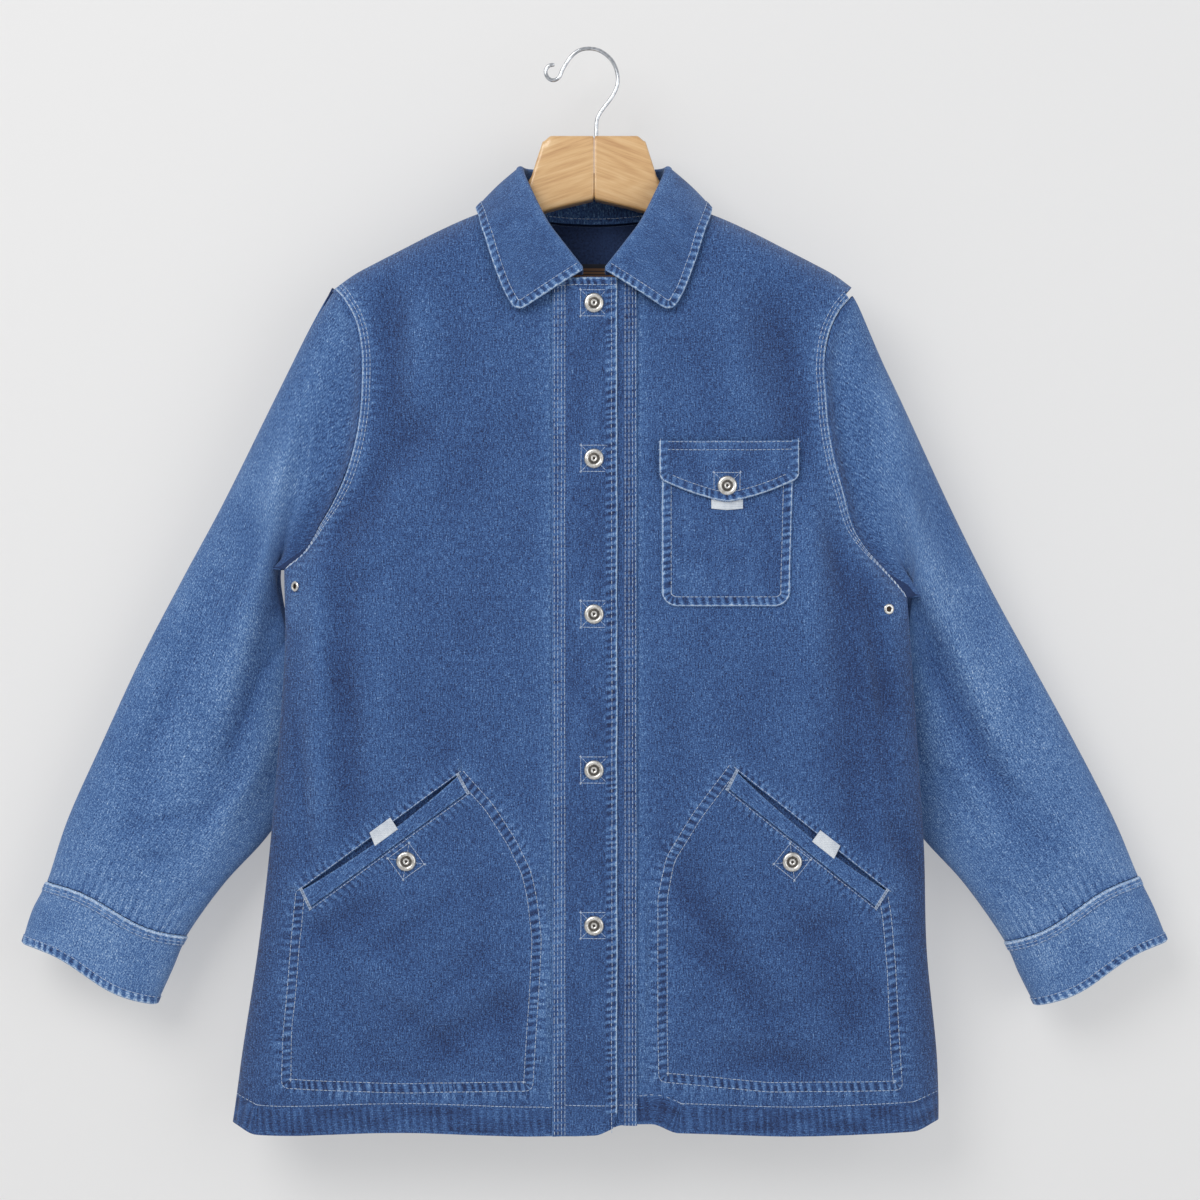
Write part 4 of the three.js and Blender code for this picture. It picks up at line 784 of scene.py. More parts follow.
class Nodes:
    """A new material with its Principled shader, and short calls that add and join nodes."""

    def __init__(self, name, roughness=0.9, metallic=0.0, sheen=0.0):
        self.material = bpy.data.materials.new(name)
        self.material.use_nodes = True
        self.tree = self.material.node_tree
        self.shader = self.tree.nodes["Principled BSDF"]
        self.shader.inputs["Roughness"].default_value = roughness
        self.shader.inputs["Metallic"].default_value = metallic
        self.shader.inputs["Sheen Weight"].default_value = sheen
        self.shader.inputs["Sheen Roughness"].default_value = 0.6

    def add(self, kind, **values):
        node = self.tree.nodes.new("ShaderNode" + kind)
        for key, value in values.items():
            setattr(node, key, value)
        return node

    def join(self, source, target):
        self.tree.links.new(source, target)

    def attribute(self, name, output="Vector"):
        return self.add("Attribute", attribute_name=name).outputs[output]

    def texture(self, kind, vector, cells, values, **settings):
        """A texture with so many cells to the metre, on attribute coordinates."""
        mapping = self.add("Mapping")
        mapping.inputs["Scale"].default_value = (*cells, 1)
        self.join(vector, mapping.inputs["Vector"])
        node = self.add(kind, **settings)
        for key, value in values.items():
            node.inputs[key].default_value = value
        self.join(mapping.outputs["Vector"], node.inputs["Vector"])
        return node.outputs["Fac"]

    def noise(self, vector, cells, detail=2.0, roughness=0.5):
        values = {"Scale": 1.0, "Detail": detail, "Roughness": roughness}
        return self.texture("TexNoise", vector, cells, values)

    def wave(self, vector, cells, direction, distortion=0.0):
        values = {"Scale": 1.0, "Distortion": distortion}
        return self.texture("TexWave", vector, cells, values, bands_direction=direction)

    def blend(self, *parts):
        """Sum of values by their weights."""
        total = None
        for value, weight in parts:
            term = self.math("MULTIPLY", value, weight)
            total = term if total is None else self.math("ADD", total, term)
        return total

    def math(self, operation, a, b, clamp=False):
        node = self.add("Math", operation=operation, use_clamp=clamp)
        for socket, value in zip(node.inputs, (a, b)):
            if isinstance(value, (int, float)):
                socket.default_value = value
            else:
                self.join(value, socket)
        return node.outputs[0]

    def ramp(self, factor, *stops):
        node = self.add("ValToRGB")
        elements = node.color_ramp.elements
        while len(elements) < len(stops):
            elements.new(0.5)
        for element, (position, colour) in zip(elements, stops):
            element.position = position
            element.color = colour
        self.join(factor, node.inputs["Fac"])
        return node.outputs["Color"]

    def paint(self, colour):
        self.join(colour, self.shader.inputs["Base Color"])

    def bump(self, height, strength, distance):
        node = self.add("Bump")
        node.inputs["Strength"].default_value = strength
        node.inputs["Distance"].default_value = distance
        self.join(height, node.inputs["Height"])
        self.join(node.outputs["Normal"], self.shader.inputs["Normal"])


def denim(name, shade=0.0, fleck=1.0):
    """Washed indigo denim: flecks and slubs along the warp, soft clouds, and wear with painted shade and
    puckers from the mesh.
    """
    n = Nodes(name, roughness=0.92, sheen=0.1)
    cloth = n.attribute("cloth")
    streaks = n.noise(cloth, (980, 150), 2.5, 0.65)
    grain = n.noise(cloth, (820, 700), 2.0, 0.75)
    salt = n.noise(cloth, (1300, 640), 1.0, 0.5)
    slubs = n.noise(cloth, (420, 22), 2.0, 0.5)
    clouds = n.noise(cloth, (26, 17), 3.0, 0.55)
    rope = n.add("SeparateXYZ")
    n.join(n.attribute("rope"), rope.inputs[0])
    wobble = n.math("MULTIPLY", n.math("SUBTRACT", grain, 0.5), 0.35)
    turns = n.math("MULTIPLY", n.math("ADD", rope.outputs["X"], wobble), 2 * math.pi)
    dashes = n.math("MULTIPLY", n.math("SINE", turns, 0.0), 1.5)
    dashes = n.math("MAXIMUM", n.math("MINIMUM", dashes, 1.0), -1.0)
    dashes = n.math("MULTIPLY", dashes, rope.outputs["Y"])
    # the mesh's tone: wear, with painted shade and highlight in places
    tone = n.attribute("wear", "Fac")
    parts = ((streaks, 0.95 * fleck), (grain, 1.6 * fleck), (slubs, 0.16 * fleck), (clouds, 0.14))
    for part, weight in parts:
        tone = n.math("ADD", tone, n.math("MULTIPLY", n.math("SUBTRACT", part, 0.5), weight))
    flecks = n.math("MAXIMUM", n.math("SUBTRACT", salt, 0.62), 0.0)
    tone = n.math("ADD", tone, n.math("MULTIPLY", flecks, 1.8))
    tone = n.math("ADD", tone, n.math("MULTIPLY", dashes, 0.25))
    tone = n.math("ADD", tone, shade, clamp=True)
    blues = ((14, 32, 72), (39, 71, 122), (67, 105, 157), (118, 151, 193), (192, 209, 228))
    n.paint(n.ramp(tone, *[(k / 4, linear(*blue)) for k, blue in enumerate(blues)]))
    twill = n.wave(cloth, (300, 300), "DIAGONAL", 1.5)
    n.bump(n.blend((twill, 0.35), (grain, 0.65), (dashes, 0.9), (streaks, 0.5)), 0.45, 0.0006)
    return n.material


# Dark navy for the inside of the cloth: partly the unwashed colour of the cloth's inner face, partly painted
# shade
def inside_denim_shaded():
    n = Nodes("denim_inside", roughness=0.95)
    cloth = n.attribute("cloth")
    grain = n.noise(cloth, (500, 420), 2.0, 0.7)
    clouds = n.noise(cloth, (20, 12), 2.0, 0.5)
    tone = n.blend((grain, 0.6), (clouds, 0.4))
    n.paint(n.ramp(tone, (0.3, linear(13, 27, 57)), (0.7, linear(44, 67, 112))))
    n.bump(grain, 0.4, 0.0006)
    return n.material


def thread():
    n = Nodes("thread", roughness=0.7, sheen=0.1)
    tone = n.attribute("wear", "Fac")
    n.paint(n.ramp(tone, (0.6, linear(138, 160, 194)), (1.0, linear(206, 217, 231))))
    return n.material


def tape():
    n = Nodes("white_tape", roughness=0.85, sheen=0.1)
    cloth = n.attribute("cloth")
    weave = n.math("MULTIPLY", n.wave(cloth, (280, 280), "X"), n.wave(cloth, (200, 200), "Y"))
    dirt = n.noise(cloth, (90, 70), 3.0, 0.6)
    tone = n.blend((weave, 0.35), (dirt, 0.65))
    n.paint(n.ramp(tone, (0.2, linear(176, 184, 196)), (0.6, linear(226, 230, 233))))
    n.bump(weave, 0.6, 0.0004)
    return n.material


def label_cloth():
    """Dark woven label with plain brown stripes and no lettering."""
    n = Nodes("label_cloth", roughness=0.8, sheen=0.1)
    cloth = n.attribute("cloth")
    split = n.add("SeparateXYZ")
    n.join(cloth, split.inputs[0])
    height = split.outputs["Y"]
    stops = [(0.0, linear(17, 22, 38))]
    for low, high in ((0.16, 0.2), (0.64, 0.70), (0.73, 0.79), (0.82, 0.88)):
        stops += [(low, linear(108, 76, 52)), (high, linear(17, 22, 38))]
    span = n.math("DIVIDE", height, (LABEL["top"] - LABEL["bottom"]) * MM)
    stripes = n.ramp(span, *stops)
    stripes.node.color_ramp.interpolation = "CONSTANT"
    n.paint(stripes)
    n.bump(n.wave(cloth, (330, 330), "Y"), 0.5, 0.0003)
    return n.material


def wood():
    """Pale lacquered maple with fine brown grain along the arm."""
    n = Nodes("wood", roughness=0.38)
    n.shader.inputs["Coat Weight"].default_value = 0.6
    n.shader.inputs["Coat Roughness"].default_value = 0.14
    cloth = n.attribute("cloth")
    broad = n.noise(cloth, (7, 90), 4.0, 0.6)
    fine = n.noise(cloth, (26, 620), 3.0, 0.65)
    pores = n.noise(cloth, (90, 1500), 2.0, 0.7)
    growth = n.noise(cloth, (6, 34), 1.0, 0.4)
    rings = n.math("SINE", n.math("MULTIPLY", growth, 75), 0.0)
    tone = n.blend((broad, 0.55), (fine, 0.3), (pores, 0.15), (rings, 0.035))
    pale, middle, dark = linear(226, 192, 144), linear(208, 166, 114), linear(176, 128, 80)
    n.paint(n.ramp(tone, (0.3, dark), (0.5, middle), (0.7, pale)))
    n.join(n.math("ADD", n.math("MULTIPLY", fine, 0.25), 0.28), n.shader.inputs["Roughness"])
    n.bump(fine, 0.12, 0.0003)
    return n.material


def metal(name, dark, light, roughness):
    """Worn plated metal: fine scratches, a little tarnish, and dark grooves where the mesh's wear value is
    low; in the eyelets' holes that dark colour is painted shade.
    """
    n = Nodes(name, roughness=roughness, metallic=1.0)
    cloth = n.attribute("cloth")
    tarnish = n.noise(cloth, (240, 240), 4.0, 0.6)
    scratches = n.noise(cloth, (2500, 160), 2.0, 0.6)
    plated = n.ramp(tarnish, (0.35, dark), (0.65, light))
    groove = n.add("MixRGB")
    groove.inputs["Color1"].default_value = linear(52, 44, 38)
    n.join(n.attribute("wear", "Fac"), groove.inputs["Fac"])
    n.join(plated, groove.inputs["Color2"])
    n.paint(groove.outputs["Color"])
    rough = n.math("ADD", n.math("MULTIPLY", scratches, 0.25), roughness - 0.1)
    n.join(rough, n.shader.inputs["Roughness"])
    n.bump(scratches, 0.08, 0.0001)
    return n.material


DENIM = denim("denim")
SEAM_DENIM = denim("denim_seams", shade=0.02, fleck=0.8)
INSIDE_SHADED = inside_denim_shaded()
THREAD = thread()
TAPE_CLOTH = tape()
LABEL_CLOTH = label_cloth()
WOOD = wood()
NICKEL = metal("snap_metal", linear(196, 190, 180), linear(244, 242, 238), 0.3)
CHROME = metal("hook_steel", linear(170, 172, 176), linear(226, 228, 230), 0.14)

# How pale each kind of piece is washed, from 0 to 1
WEAR = {
    "front": 0.28, "back": 0.3, "sleeve": 0.44, "cuff": 0.54, "collar": 0.32, "placket": 0.25, "pocket": 0.3,
    "welt": 0.34,
}


# Front and back
def bag_line(side):
    """The bag's row of stitching as a smooth dense path."""
    points = np.array(BAG_ROWS[side], float)
    steps = np.concatenate([[0], np.cumsum(np.hypot(*np.diff(points, axis=0).T))])
    dense = np.linspace(0, steps[-1], 240)
    line = np.column_stack([np.interp(dense, steps, points[:, k]) for k in (0, 1)])
    kernel = np.ones(5) / 5
    for k in (0, 1):
        padded = np.concatenate([np.full(2, line[0, k]), line[:, k], np.full(2, line[-1, k])])
        line[:, k] = np.convolve(padded, kernel, "valid")
    return line


def near_line(line, x, z):
    """Distance of places from a line, and how far along it the nearest point is."""
    best, at = np.full(np.shape(x), 1e9), np.zeros(np.shape(x))
    run = np.concatenate([[0], np.cumsum(np.hypot(*np.diff(line, axis=0).T))])
    for (px, pz), along in zip(line[::2], run[::2]):
        square = (x - px) ** 2 + (z - pz) ** 2
        at = np.where(square < best, along, at)
        best = np.minimum(best, square)
    return np.sqrt(best), at


def mouth_line(side, up):
    return np.column_stack(mouth_place(side, np.linspace(-0.02, 1.02, 120), np.full(120, up)))


def strongest(*sources):
    """Phase and strength of the puckers that are strongest at each place."""
    phase, amount = sources[0]
    for other, more in sources[1:]:
        phase = np.where(more > amount, other, phase)
        amount = np.maximum(amount, more)
    return phase, amount


def front_rope(x, z):
    """Short puckers that run out from the seams into the front."""
    uneven = 0.6 + 0.5 * noise(x / 14, z / 5, 43)
    armhole = 0.5 * bell(inset_of(x, z) - 11, 5) * (z > EYELET_AT["left"][1] + 12)
    sources = [(z / ROPE_PERIOD, armhole)]
    for seam in (-41, 41):
        sources.append((z / 6.1, 0.25 * bell(x - seam, 5)))
    for side in SIDES:
        distance, along = near_line(bag_line(side), x, z)
        sources.append((along / 8.5, 0.8 * bell(distance, 8)))
        for up in (MOUTH_HEIGHT + 4, -5):
            distance, along = near_line(mouth_line(side, up), x, z)
            sources.append((along / ROPE_PERIOD, 0.7 * bell(distance, 6)))
    phase, amount = strongest(*sources)
    return phase, amount * uneven


def front_wear_and_shade(x, z):
    clouds = 0.02 * noise(x / 60, z / 90, 40) + 0.014 * noise(x / 22, z / 40, 41)
    seams = 0.12 * fall(inset_of(x, z) - 10, 7) * (z > UNDERARM["left"] - 20)
    band = 0.15 * fall(np.minimum(np.abs(x + 39), np.abs(x - 40)), 6)
    # painted shade in the hollows of folds and creases, and painted highlight on their ridges
    fold_shading = -0.016 * (fold_depth(FRONT_FOLDS, x, z) + 1.6 * fold_depth(FRONT_CREASES, x, z))
    # painted shade along the sides of the front below the armholes
    side_shade = -0.09 * fall(inset_of(x, z), 28) * smooth((UNDERARM["left"] - z) / 120)
    trim = 0
    for side in SIDES:
        distance, _ = near_line(bag_line(side), x, z)
        trim = trim + 0.07 * bell(distance, 12)
        distance, _ = near_line(mouth_line(side, MOUTH_HEIGHT + 5), x, z)
        trim = trim + 0.08 * bell(distance, 9)
    return WEAR["front"] + clouds + seams + band + fold_shading + side_shade + trim


def back_wear_and_shade(x, z):
    clouds = 0.02 * noise(x / 60, z / 90, 50) + 0.014 * noise(x / 22, z / 40, 51)
    # painted shade in the hollows of folds and creases, and painted highlight on their ridges
    fold_shading = -0.022 * (fold_depth(BACK_FOLDS, x, z) + 1.6 * fold_depth(BACK_CREASES, x, z))
    side, hem = 0.14 * fall(inset_of(x, z), 16), 0.1 * np.exp(-(z - hem_z(x)) / 14)
    return WEAR["back"] + clouds + fold_shading + side + hem


def half_grid(side, face, columns, rows):
    """Outer and inner points of half a panel, with extra columns at the neck's side and rows at the hem."""
    tip, middle = abs(TIP[side][0]), abs(PANEL_END[side]) if face == "front" else 0
    share = (tip - np.array([78, 77.5, 76.4, 74.5, 71.5, 67])) / (tip - middle)
    neck = EDGE_COLUMNS + (share - EDGE_WIDTH) / (1 - EDGE_WIDTH) * (1 - EDGE_COLUMNS)
    a = np.unique(np.concatenate([np.linspace(0, 1, columns), neck]))
    hem = HEM_SHARE * LOW_ROWS
    b = np.unique(np.concatenate([np.linspace(0, 1, rows), [hem, hem * 1.03, LOW_ROWS]]))
    aa, bb = np.meshgrid(a, b)
    x, z = half_place(side, face, aa, bb)
    away = -SEAM_GAP / 2 if face == "front" else SEAM_GAP / 2
    outer = np.stack([x, body_y(face, x, z) + away, z], -1)
    normal = unit(np.cross(np.gradient(outer, axis=1), np.gradient(outer, axis=0)))
    toward = -1 if face == "front" else 1
    normal *= np.sign(normal[..., 1].mean() * toward)
    thick = CLOTH + 0.9 * smooth((hem * 1.03 - bb) / (hem * 0.03))
    return x, z, outer, outer - normal * thick[..., None]


def cut_mouth(piece, side):
    """Cuts the slanted pocket mouth through the front."""
    corners = HIP[side]
    cutter = bpy.data.meshes.new("cutter")
    points = [(x * MM, y, z * MM) for y in (-0.2, 0.1) for x, z in corners]
    walls = [(k, k + 4, (k + 1) % 4 + 4, (k + 1) % 4) for k in range(4)]
    faces = [(0, 1, 2, 3), (7, 6, 5, 4), *walls]
    cutter.from_pydata(points, [], [face[:: SIGN[side]] for face in faces])
    block = bpy.data.objects.new("cutter", cutter)
    bpy.context.scene.collection.objects.link(block)
    modifier = piece.modifiers.new("mouth", "BOOLEAN")
    modifier.operation, modifier.object, modifier.solver = "DIFFERENCE", block, "EXACT"
    done = bpy.data.meshes.new_from_object(piece.evaluated_get(bpy.context.evaluated_depsgraph_get()))
    piece.modifiers.clear()
    piece.data = done
    bpy.data.objects.remove(block)
    co = np.empty(len(done.vertices) * 3, np.float32)
    done.vertices.foreach_get("co", co)
    x, _, z = co.reshape(-1, 3).T / MM
    for name in ("cloth", "wear", "rope"):
        if name in done.attributes:
            done.attributes.remove(done.attributes[name])
    cloth, rope = np.column_stack([x, z]) * MM, np.column_stack(front_rope(x, z))
    add_attributes(done, cloth, front_wear_and_shade(x, z), rope)


def front_panel(side):
    x, z, outer, inner = half_grid(side, "front", 84, 208)
    pile = Pile()
    pile.shell(outer, inner, (x * MM, z * MM), 0.3)
    piece = pile.build(f"cloth_front_{side}", DENIM, INSIDE_SHADED)
    cut_mouth(piece, side)
    return dress(piece, "denim", f"front_{side}")


def back_panel():
    grids = [half_grid(side, "back", 64, 158) for side in SIDES]
    join = lambda right, left: np.concatenate([right, left[:, ::-1][:, 1:]], axis=1)
    x, z, outer, inner = (join(*pair) for pair in zip(*grids))
    pile = Pile()
    pile.shell(outer, inner, (x * MM, z * MM), back_wear_and_shade(x, z))
    return dress(pile.build("cloth_back", DENIM, INSIDE_SHADED), "denim", "back")


# Seams, given as paths on a surface; an offset to the left of a path, seen from outside, is positive
def armhole_path(side):
    f = np.linspace(0.02, 0.985, 80)
    return np.column_stack([ARMHOLE(side, f) - SIGN[side] * 0.4, mix(UNDERARM[side], TIP[side][1], f)])


def line_path(x0, z0, x1, z1, count=40):
    return np.column_stack([np.linspace(x0, x1, count), np.linspace(z0, z1, count)])


def hem_path(start, stop):
    x = np.linspace(start, stop, 60)
    return np.column_stack([x, hem_z(x)])


def round_path(v):
    return np.column_stack([np.full(160, v), np.linspace(0.001, 0.999, 160)])


# Distances of the rows of stitches from their edges
ARMHOLE_ROWS = (1.7, 4.7, 7.7)
HIP_BAG_ROWS = (0.2, 8.4)
CUFF_ROWS = (1.6, 5.0, 8.4)
HEM_REACH = 0.992  # share of the half width that the hem's seam covers
HEM_ROW = 26.5  # distance of the hem's stitches from its edge


def hem_seam(bands, rows, surface, ends, wear, layer, seed):
    path = hem_path(*ends)
    look = {"rise": 0.5, "strength": 0.35, "rope": 0.4, "crest": 0.5}
    seam_band(bands, surface, path, 0.4, HEM_ROW + 1, wear=wear, layer=layer, **look)
    stitches(rows, surface, path, HEM_ROW, height=0.85, seed=seed)


def body_seams():
    bands, rows = Pile(), Pile()
    for k, side in enumerate(SIDES):
        inside = SIGN[side]
        path = armhole_path(side)
        for surface, across in ((FRONT, inside), (BACK, -inside)):
            look = {"wear": 0.36, "rope": 0.45, "crest": 0.6}
            seam_band(bands, surface, path, 0, across * 10, layer=60 + k, **look)
            for distance in ARMHOLE_ROWS:
                stitches(rows, surface, path, across * distance, height=0.95, seed=70 + k)
        end = edge_x(side, HEM_Z) * HEM_REACH
        middle = -37 if side == "right" else 38
        hem_seam(bands, rows, FRONT, sorted((end, middle)), 0.2, 64 + k, 78 + k)
        line = bag_line(side)
        look = {"rise": 0.4, "wear": 0.27, "crest": 0.05}
        seam_band(bands, FRONT, line, inside * -0.6, inside * 9.2, layer=66 + k, **look)
        for distance in HIP_BAG_ROWS:
            stitches(rows, FRONT, line, inside * distance, height=0.7, seed=80 + k)
    hem_seam(bands, rows, BACK, [edge_x(side, HEM_Z) * HEM_REACH for side in ("left", "right")], 0.22, 68, 84)
    return bands.build("seams_body", SEAM_DENIM), rows.build("stitches_body", THREAD)


# Sleeves and cuffs
def sleeve_wear_and_shade(side, x, z, v, turn):
    around = np.maximum(0, np.sin(2 * np.pi * turn))
    clouds = 0.04 * noise(x / 55, z / 80, 80) + 0.035 * noise(x / 21, z / 34, 81)
    # painted shade in the hollows of folds and creases, and painted highlight on their ridges
    fold_shading = -0.016 * (fold_depth(SLEEVE_FOLDS, x, z) + 1.6 * fold_depth(SLEEVE_CREASES, x, z)) * around
    above = CUFF_FROM - v
    # painted shadow: a thin dark line on the sleeve beside the armhole and another just above the cuff's
    # seam; the paler band above the cuff is wear
    seams = -0.2 * np.exp(-v / 0.06) - 0.2 * np.exp(-above / 0.05) + 0.08 * np.exp(-above / 0.5)
    low = 0.05 * smooth((v - 1) / 5)
    # painted shade: a dark band on the sleeve beside the armhole, widest and deepest towards the underarm
    under = smooth(0.5 - 0.5 * np.cos(2 * np.pi * turn))
    armhole_shade = -0.2 * (0.3 + 0.7 * under) * bell(v, 0.3 + 0.6 * under)
    return WEAR["sleeve"] + clouds + fold_shading + seams + low + armhole_shade


def sleeve_rope(v, turn):
    """Gathers that run up the arm from the cuff's seam."""
    uneven = 0.6 + 0.5 * noise(turn * 40, v, 83)
    return turn * 52 + 0 * v, 0.55 * np.exp(-(CUFF_FROM - v) / 0.45) * uneven


def sleeve_cloth(side, turn, points):
    """Cloth coordinates with the warp along the arm."""
    length = np.linalg.norm(np.diff(points, axis=0), axis=2).mean(axis=1)
    along = np.concatenate([[0], np.cumsum(length)])[:, None] + 0 * turn
    return turn * 0.4 + 0.9 * SIGN[side], along * MM


SLEEVE_COLUMNS = 120


def sleeve(side):
    v = np.unique(np.concatenate([[0, 0.03, 0.06, 0.1], np.linspace(0.15, CUFF_FROM, 138)]))
    turn, v = np.meshgrid(np.arange(SLEEVE_COLUMNS) / SLEEVE_COLUMNS, v)
    sink = -0.9 * np.exp(-v / 0.12)
    outer, inner = SLEEVES[side].at(v, turn, sink), SLEEVES[side].at(v, turn, sink - CLOTH)
    pile = Pile()
    wear = sleeve_wear_and_shade(side, outer[..., 0], outer[..., 2], v, turn)
    cloth = sleeve_cloth(side, turn, outer)
    pile.shell(outer, inner, cloth, wear, wrap=True, rope=sleeve_rope(v, turn))
    return dress(pile.build(f"cloth_sleeve_{side}", DENIM, INSIDE_SHADED), "denim_sleeves", f"sleeve_{side}")


CUFF_START = 8.015
CUFF_MM = 31  # millimetres along the cuff for each unit of v
CUFF_LIFT = 0.7  # how far the cuff stands out from the sleeve


def cuff(side):
    v = np.unique(np.concatenate([[CUFF_START, 8.03], np.linspace(8.05, 9.95, 34), [9.98, CUFF_TO]]))
    turn, v = np.meshgrid(np.arange(SLEEVE_COLUMNS) / SLEEVE_COLUMNS, v)
    border = np.minimum(v - CUFF_START, CUFF_TO - v) * CUFF_MM
    rounding = 0.9 * (1 - quarter(border / 1.2))
    outer = SLEEVES[side].at(v, turn, CUFF_LIFT - rounding)
    inner = SLEEVES[side].at(v, turn, CUFF_LIFT - DOUBLE + rounding)
    pile = Pile()
    x, z = outer[..., 0], outer[..., 2]
    wear = WEAR["cuff"] + 0.05 * noise(x / 24, z / 30, 90) + 0.25 * fall(border, FRAY)
    pile.shell(outer, inner, sleeve_cloth(side, turn + 0.3, outer), wear, wrap=True)
    return dress(pile.build(f"cloth_cuff_{side}", DENIM, INSIDE_SHADED), "denim_sleeves", f"cuff_{side}")


def cuff_seams(side):
    bands, rows = Pile(), Pile()
    surface, onward = SLEEVES[side], SIGN[side]
    high, low = round_path(8.03), round_path(9.985)
    look = {"lift": CUFF_LIFT, "wear": 0.5, "rope": 0.35, "crest": 0.5}
    seam_band(bands, surface, high, 0, onward * 11, layer=92, **look)
    for distance in CUFF_ROWS:
        stitches(rows, surface, high, onward * distance, height=1.65, seed=93)
    seam_band(bands, surface, low, 0, -onward * 8, lift=CUFF_LIFT, wear=0.46, crest=0.4, layer=94)
    stitches(rows, surface, low, -onward * 7.0, height=1.65, seed=95)
    return bands.build(f"seams_cuff_{side}", SEAM_DENIM), rows.build(f"stitches_cuff_{side}", THREAD)


# Button bands
def band_low(side, x):
    """Lower edge of a button band; the upper band has a cut corner."""
    stop, corner = PLACKETS[side]["to"], PLACKETS[side]["corner"]
    floor = -957.0 if side == "left" else HEM_Z - 6 + 3 * corner * clamp01((x - stop + corner) / corner)
    return np.maximum(hem_z(x), floor)


def band_wear(x, z):
    rub = 0
    for i in range(SNAP_COUNT):
        rub = rub + 0.07 * np.exp(-((x / 13) ** 2 + ((z - SNAP_FIRST + SNAP_PITCH * i) / 13) ** 2))
    return WEAR["placket"] + 0.04 * noise(x / 15, z / 50, 100) + 0.04 * noise(x / 5, z / 18, 101) + rub


def placket(side):
    start, stop, top = (PLACKETS[side][key] for key in ("from", "to", "top"))
    size = (stop - start, top - HEM_Z)
    climb = band_climb if side == "right" else (lambda x: SEAM_GAP + 0 * x)

    def place(u, v):
        x = mix(start, stop, u)
        return x, mix(band_low(side, x), top, v)

    pile = Pile()
    steps = [fine_steps(count, 1.2 / length) for count, length in zip((30, 260), size)]
    cloth_at = cut_from(0.2)
    laid(pile, FRONT, place, *steps, climb, lambda x: climb(x) + DOUBLE, cloth_at, band_wear, size)
    return dress(pile.build(f"cloth_placket_{side}", DENIM, INSIDE_SHADED), "denim", f"placket_{side}")


PLACKET_ROWS = {"right": (-34.9, -31.8, -28.6, -25.6), "left": (27.4, 30.8, 33.9, 36.6)}  # their x


def placket_seams():
    bands, rows = Pile(), Pile()
    over = lambda x: band_climb(x) + DOUBLE
    under = SEAM_GAP + DOUBLE
    down = lambda x, low, top=-209: line_path(x, low, x, top, 90)
    above = lambda extra: lambda x: over(x) + extra
    band = lambda path, width, **look: seam_band(bands, FRONT, path, 0, width, **look)
    band(down(20.4, -944), 11, lift=over, strength=0.4, wear=0.27, crest=0.7, layer=102)
    stitches(rows, FRONT, down(15.6, -960, -210), height=above(0.95), seed=103)
    band(down(-37, -963), -12.8, lift=over, rise=0.4, wear=0.3, rope=0.35, crest=0.15, layer=104)
    for k, x in enumerate(PLACKET_ROWS["right"]):
        stitches(rows, FRONT, down(x, -962), height=above(0.65), seed=105 + k)
    band(down(38, -955, -210), 13, lift=under, rise=0.4, wear=0.24, rope=0.35, crest=0.2, layer=106)
    for k, x in enumerate(PLACKET_ROWS["left"]):
        stitches(rows, FRONT, down(x, -954, -211), height=under + 0.65, seed=109 + k)
    band(line_path(19.6, -208.6, -34, -208.6, 50), 7.5, lift=over, wear=0.27, crest=0.6, layer=110)
    stitches(rows, FRONT, line_path(-34, -215, 19, -215, 30), height=above(0.9), seed=113)
    for left, right, height in ((-24.5, 19.5, above(0.8)), (24, 37, under + 0.8)):
        stitches(rows, FRONT, line_path(left, -937, right, -937, 20), height=height, seed=114)
    return bands.build("seams_placket", SEAM_DENIM), rows.build("stitches_placket", THREAD)


# Pockets
def corner_rise(near, radius):
    """How far a rounded lower corner lifts the edge, by the distance from the side."""
    inner = np.maximum(0, radius - np.maximum(0, near))
    return radius - np.sqrt(np.maximum(0, radius**2 - inner**2))


def chest_pocket_place(u, v):
    x = mix(CHEST["left"], CHEST["right"] - 3 * (1 - v), u)
    near = np.minimum(x - CHEST["left"], CHEST["right"] - 3 - x)
    return x, mix(CHEST["bottom"] + corner_rise(near, CHEST["corner"]), CHEST["top"], v)


def flap_low(x):
    half = np.where(x < FLAP["middle"], FLAP["middle"] - FLAP["left"], FLAP["right"] - FLAP["middle"])
    t = 1 - np.abs(x - FLAP["middle"]) / half
    profile = 0.6 * np.sin(np.pi / 2 * t) + 0.4 * t
    near = np.minimum(x - FLAP["left"], FLAP["right"] - x)
    return mix(FLAP["shoulder"], FLAP["tip"], profile) + corner_rise(near, FLAP["corner"])


def flap_place(u, v):
    x = mix(FLAP["left"], FLAP["right"], u)
    return x, mix(flap_low(x), FLAP["top"], v)


def pocket_wear(x, z):
    clouds = 0.06 * noise(x / 26, z / 40, 110) + 0.05 * noise(x / 9, z / 16, 111)
    return WEAR["pocket"] + clouds + 0.04 * noise(x / 3, z / 90, 112)


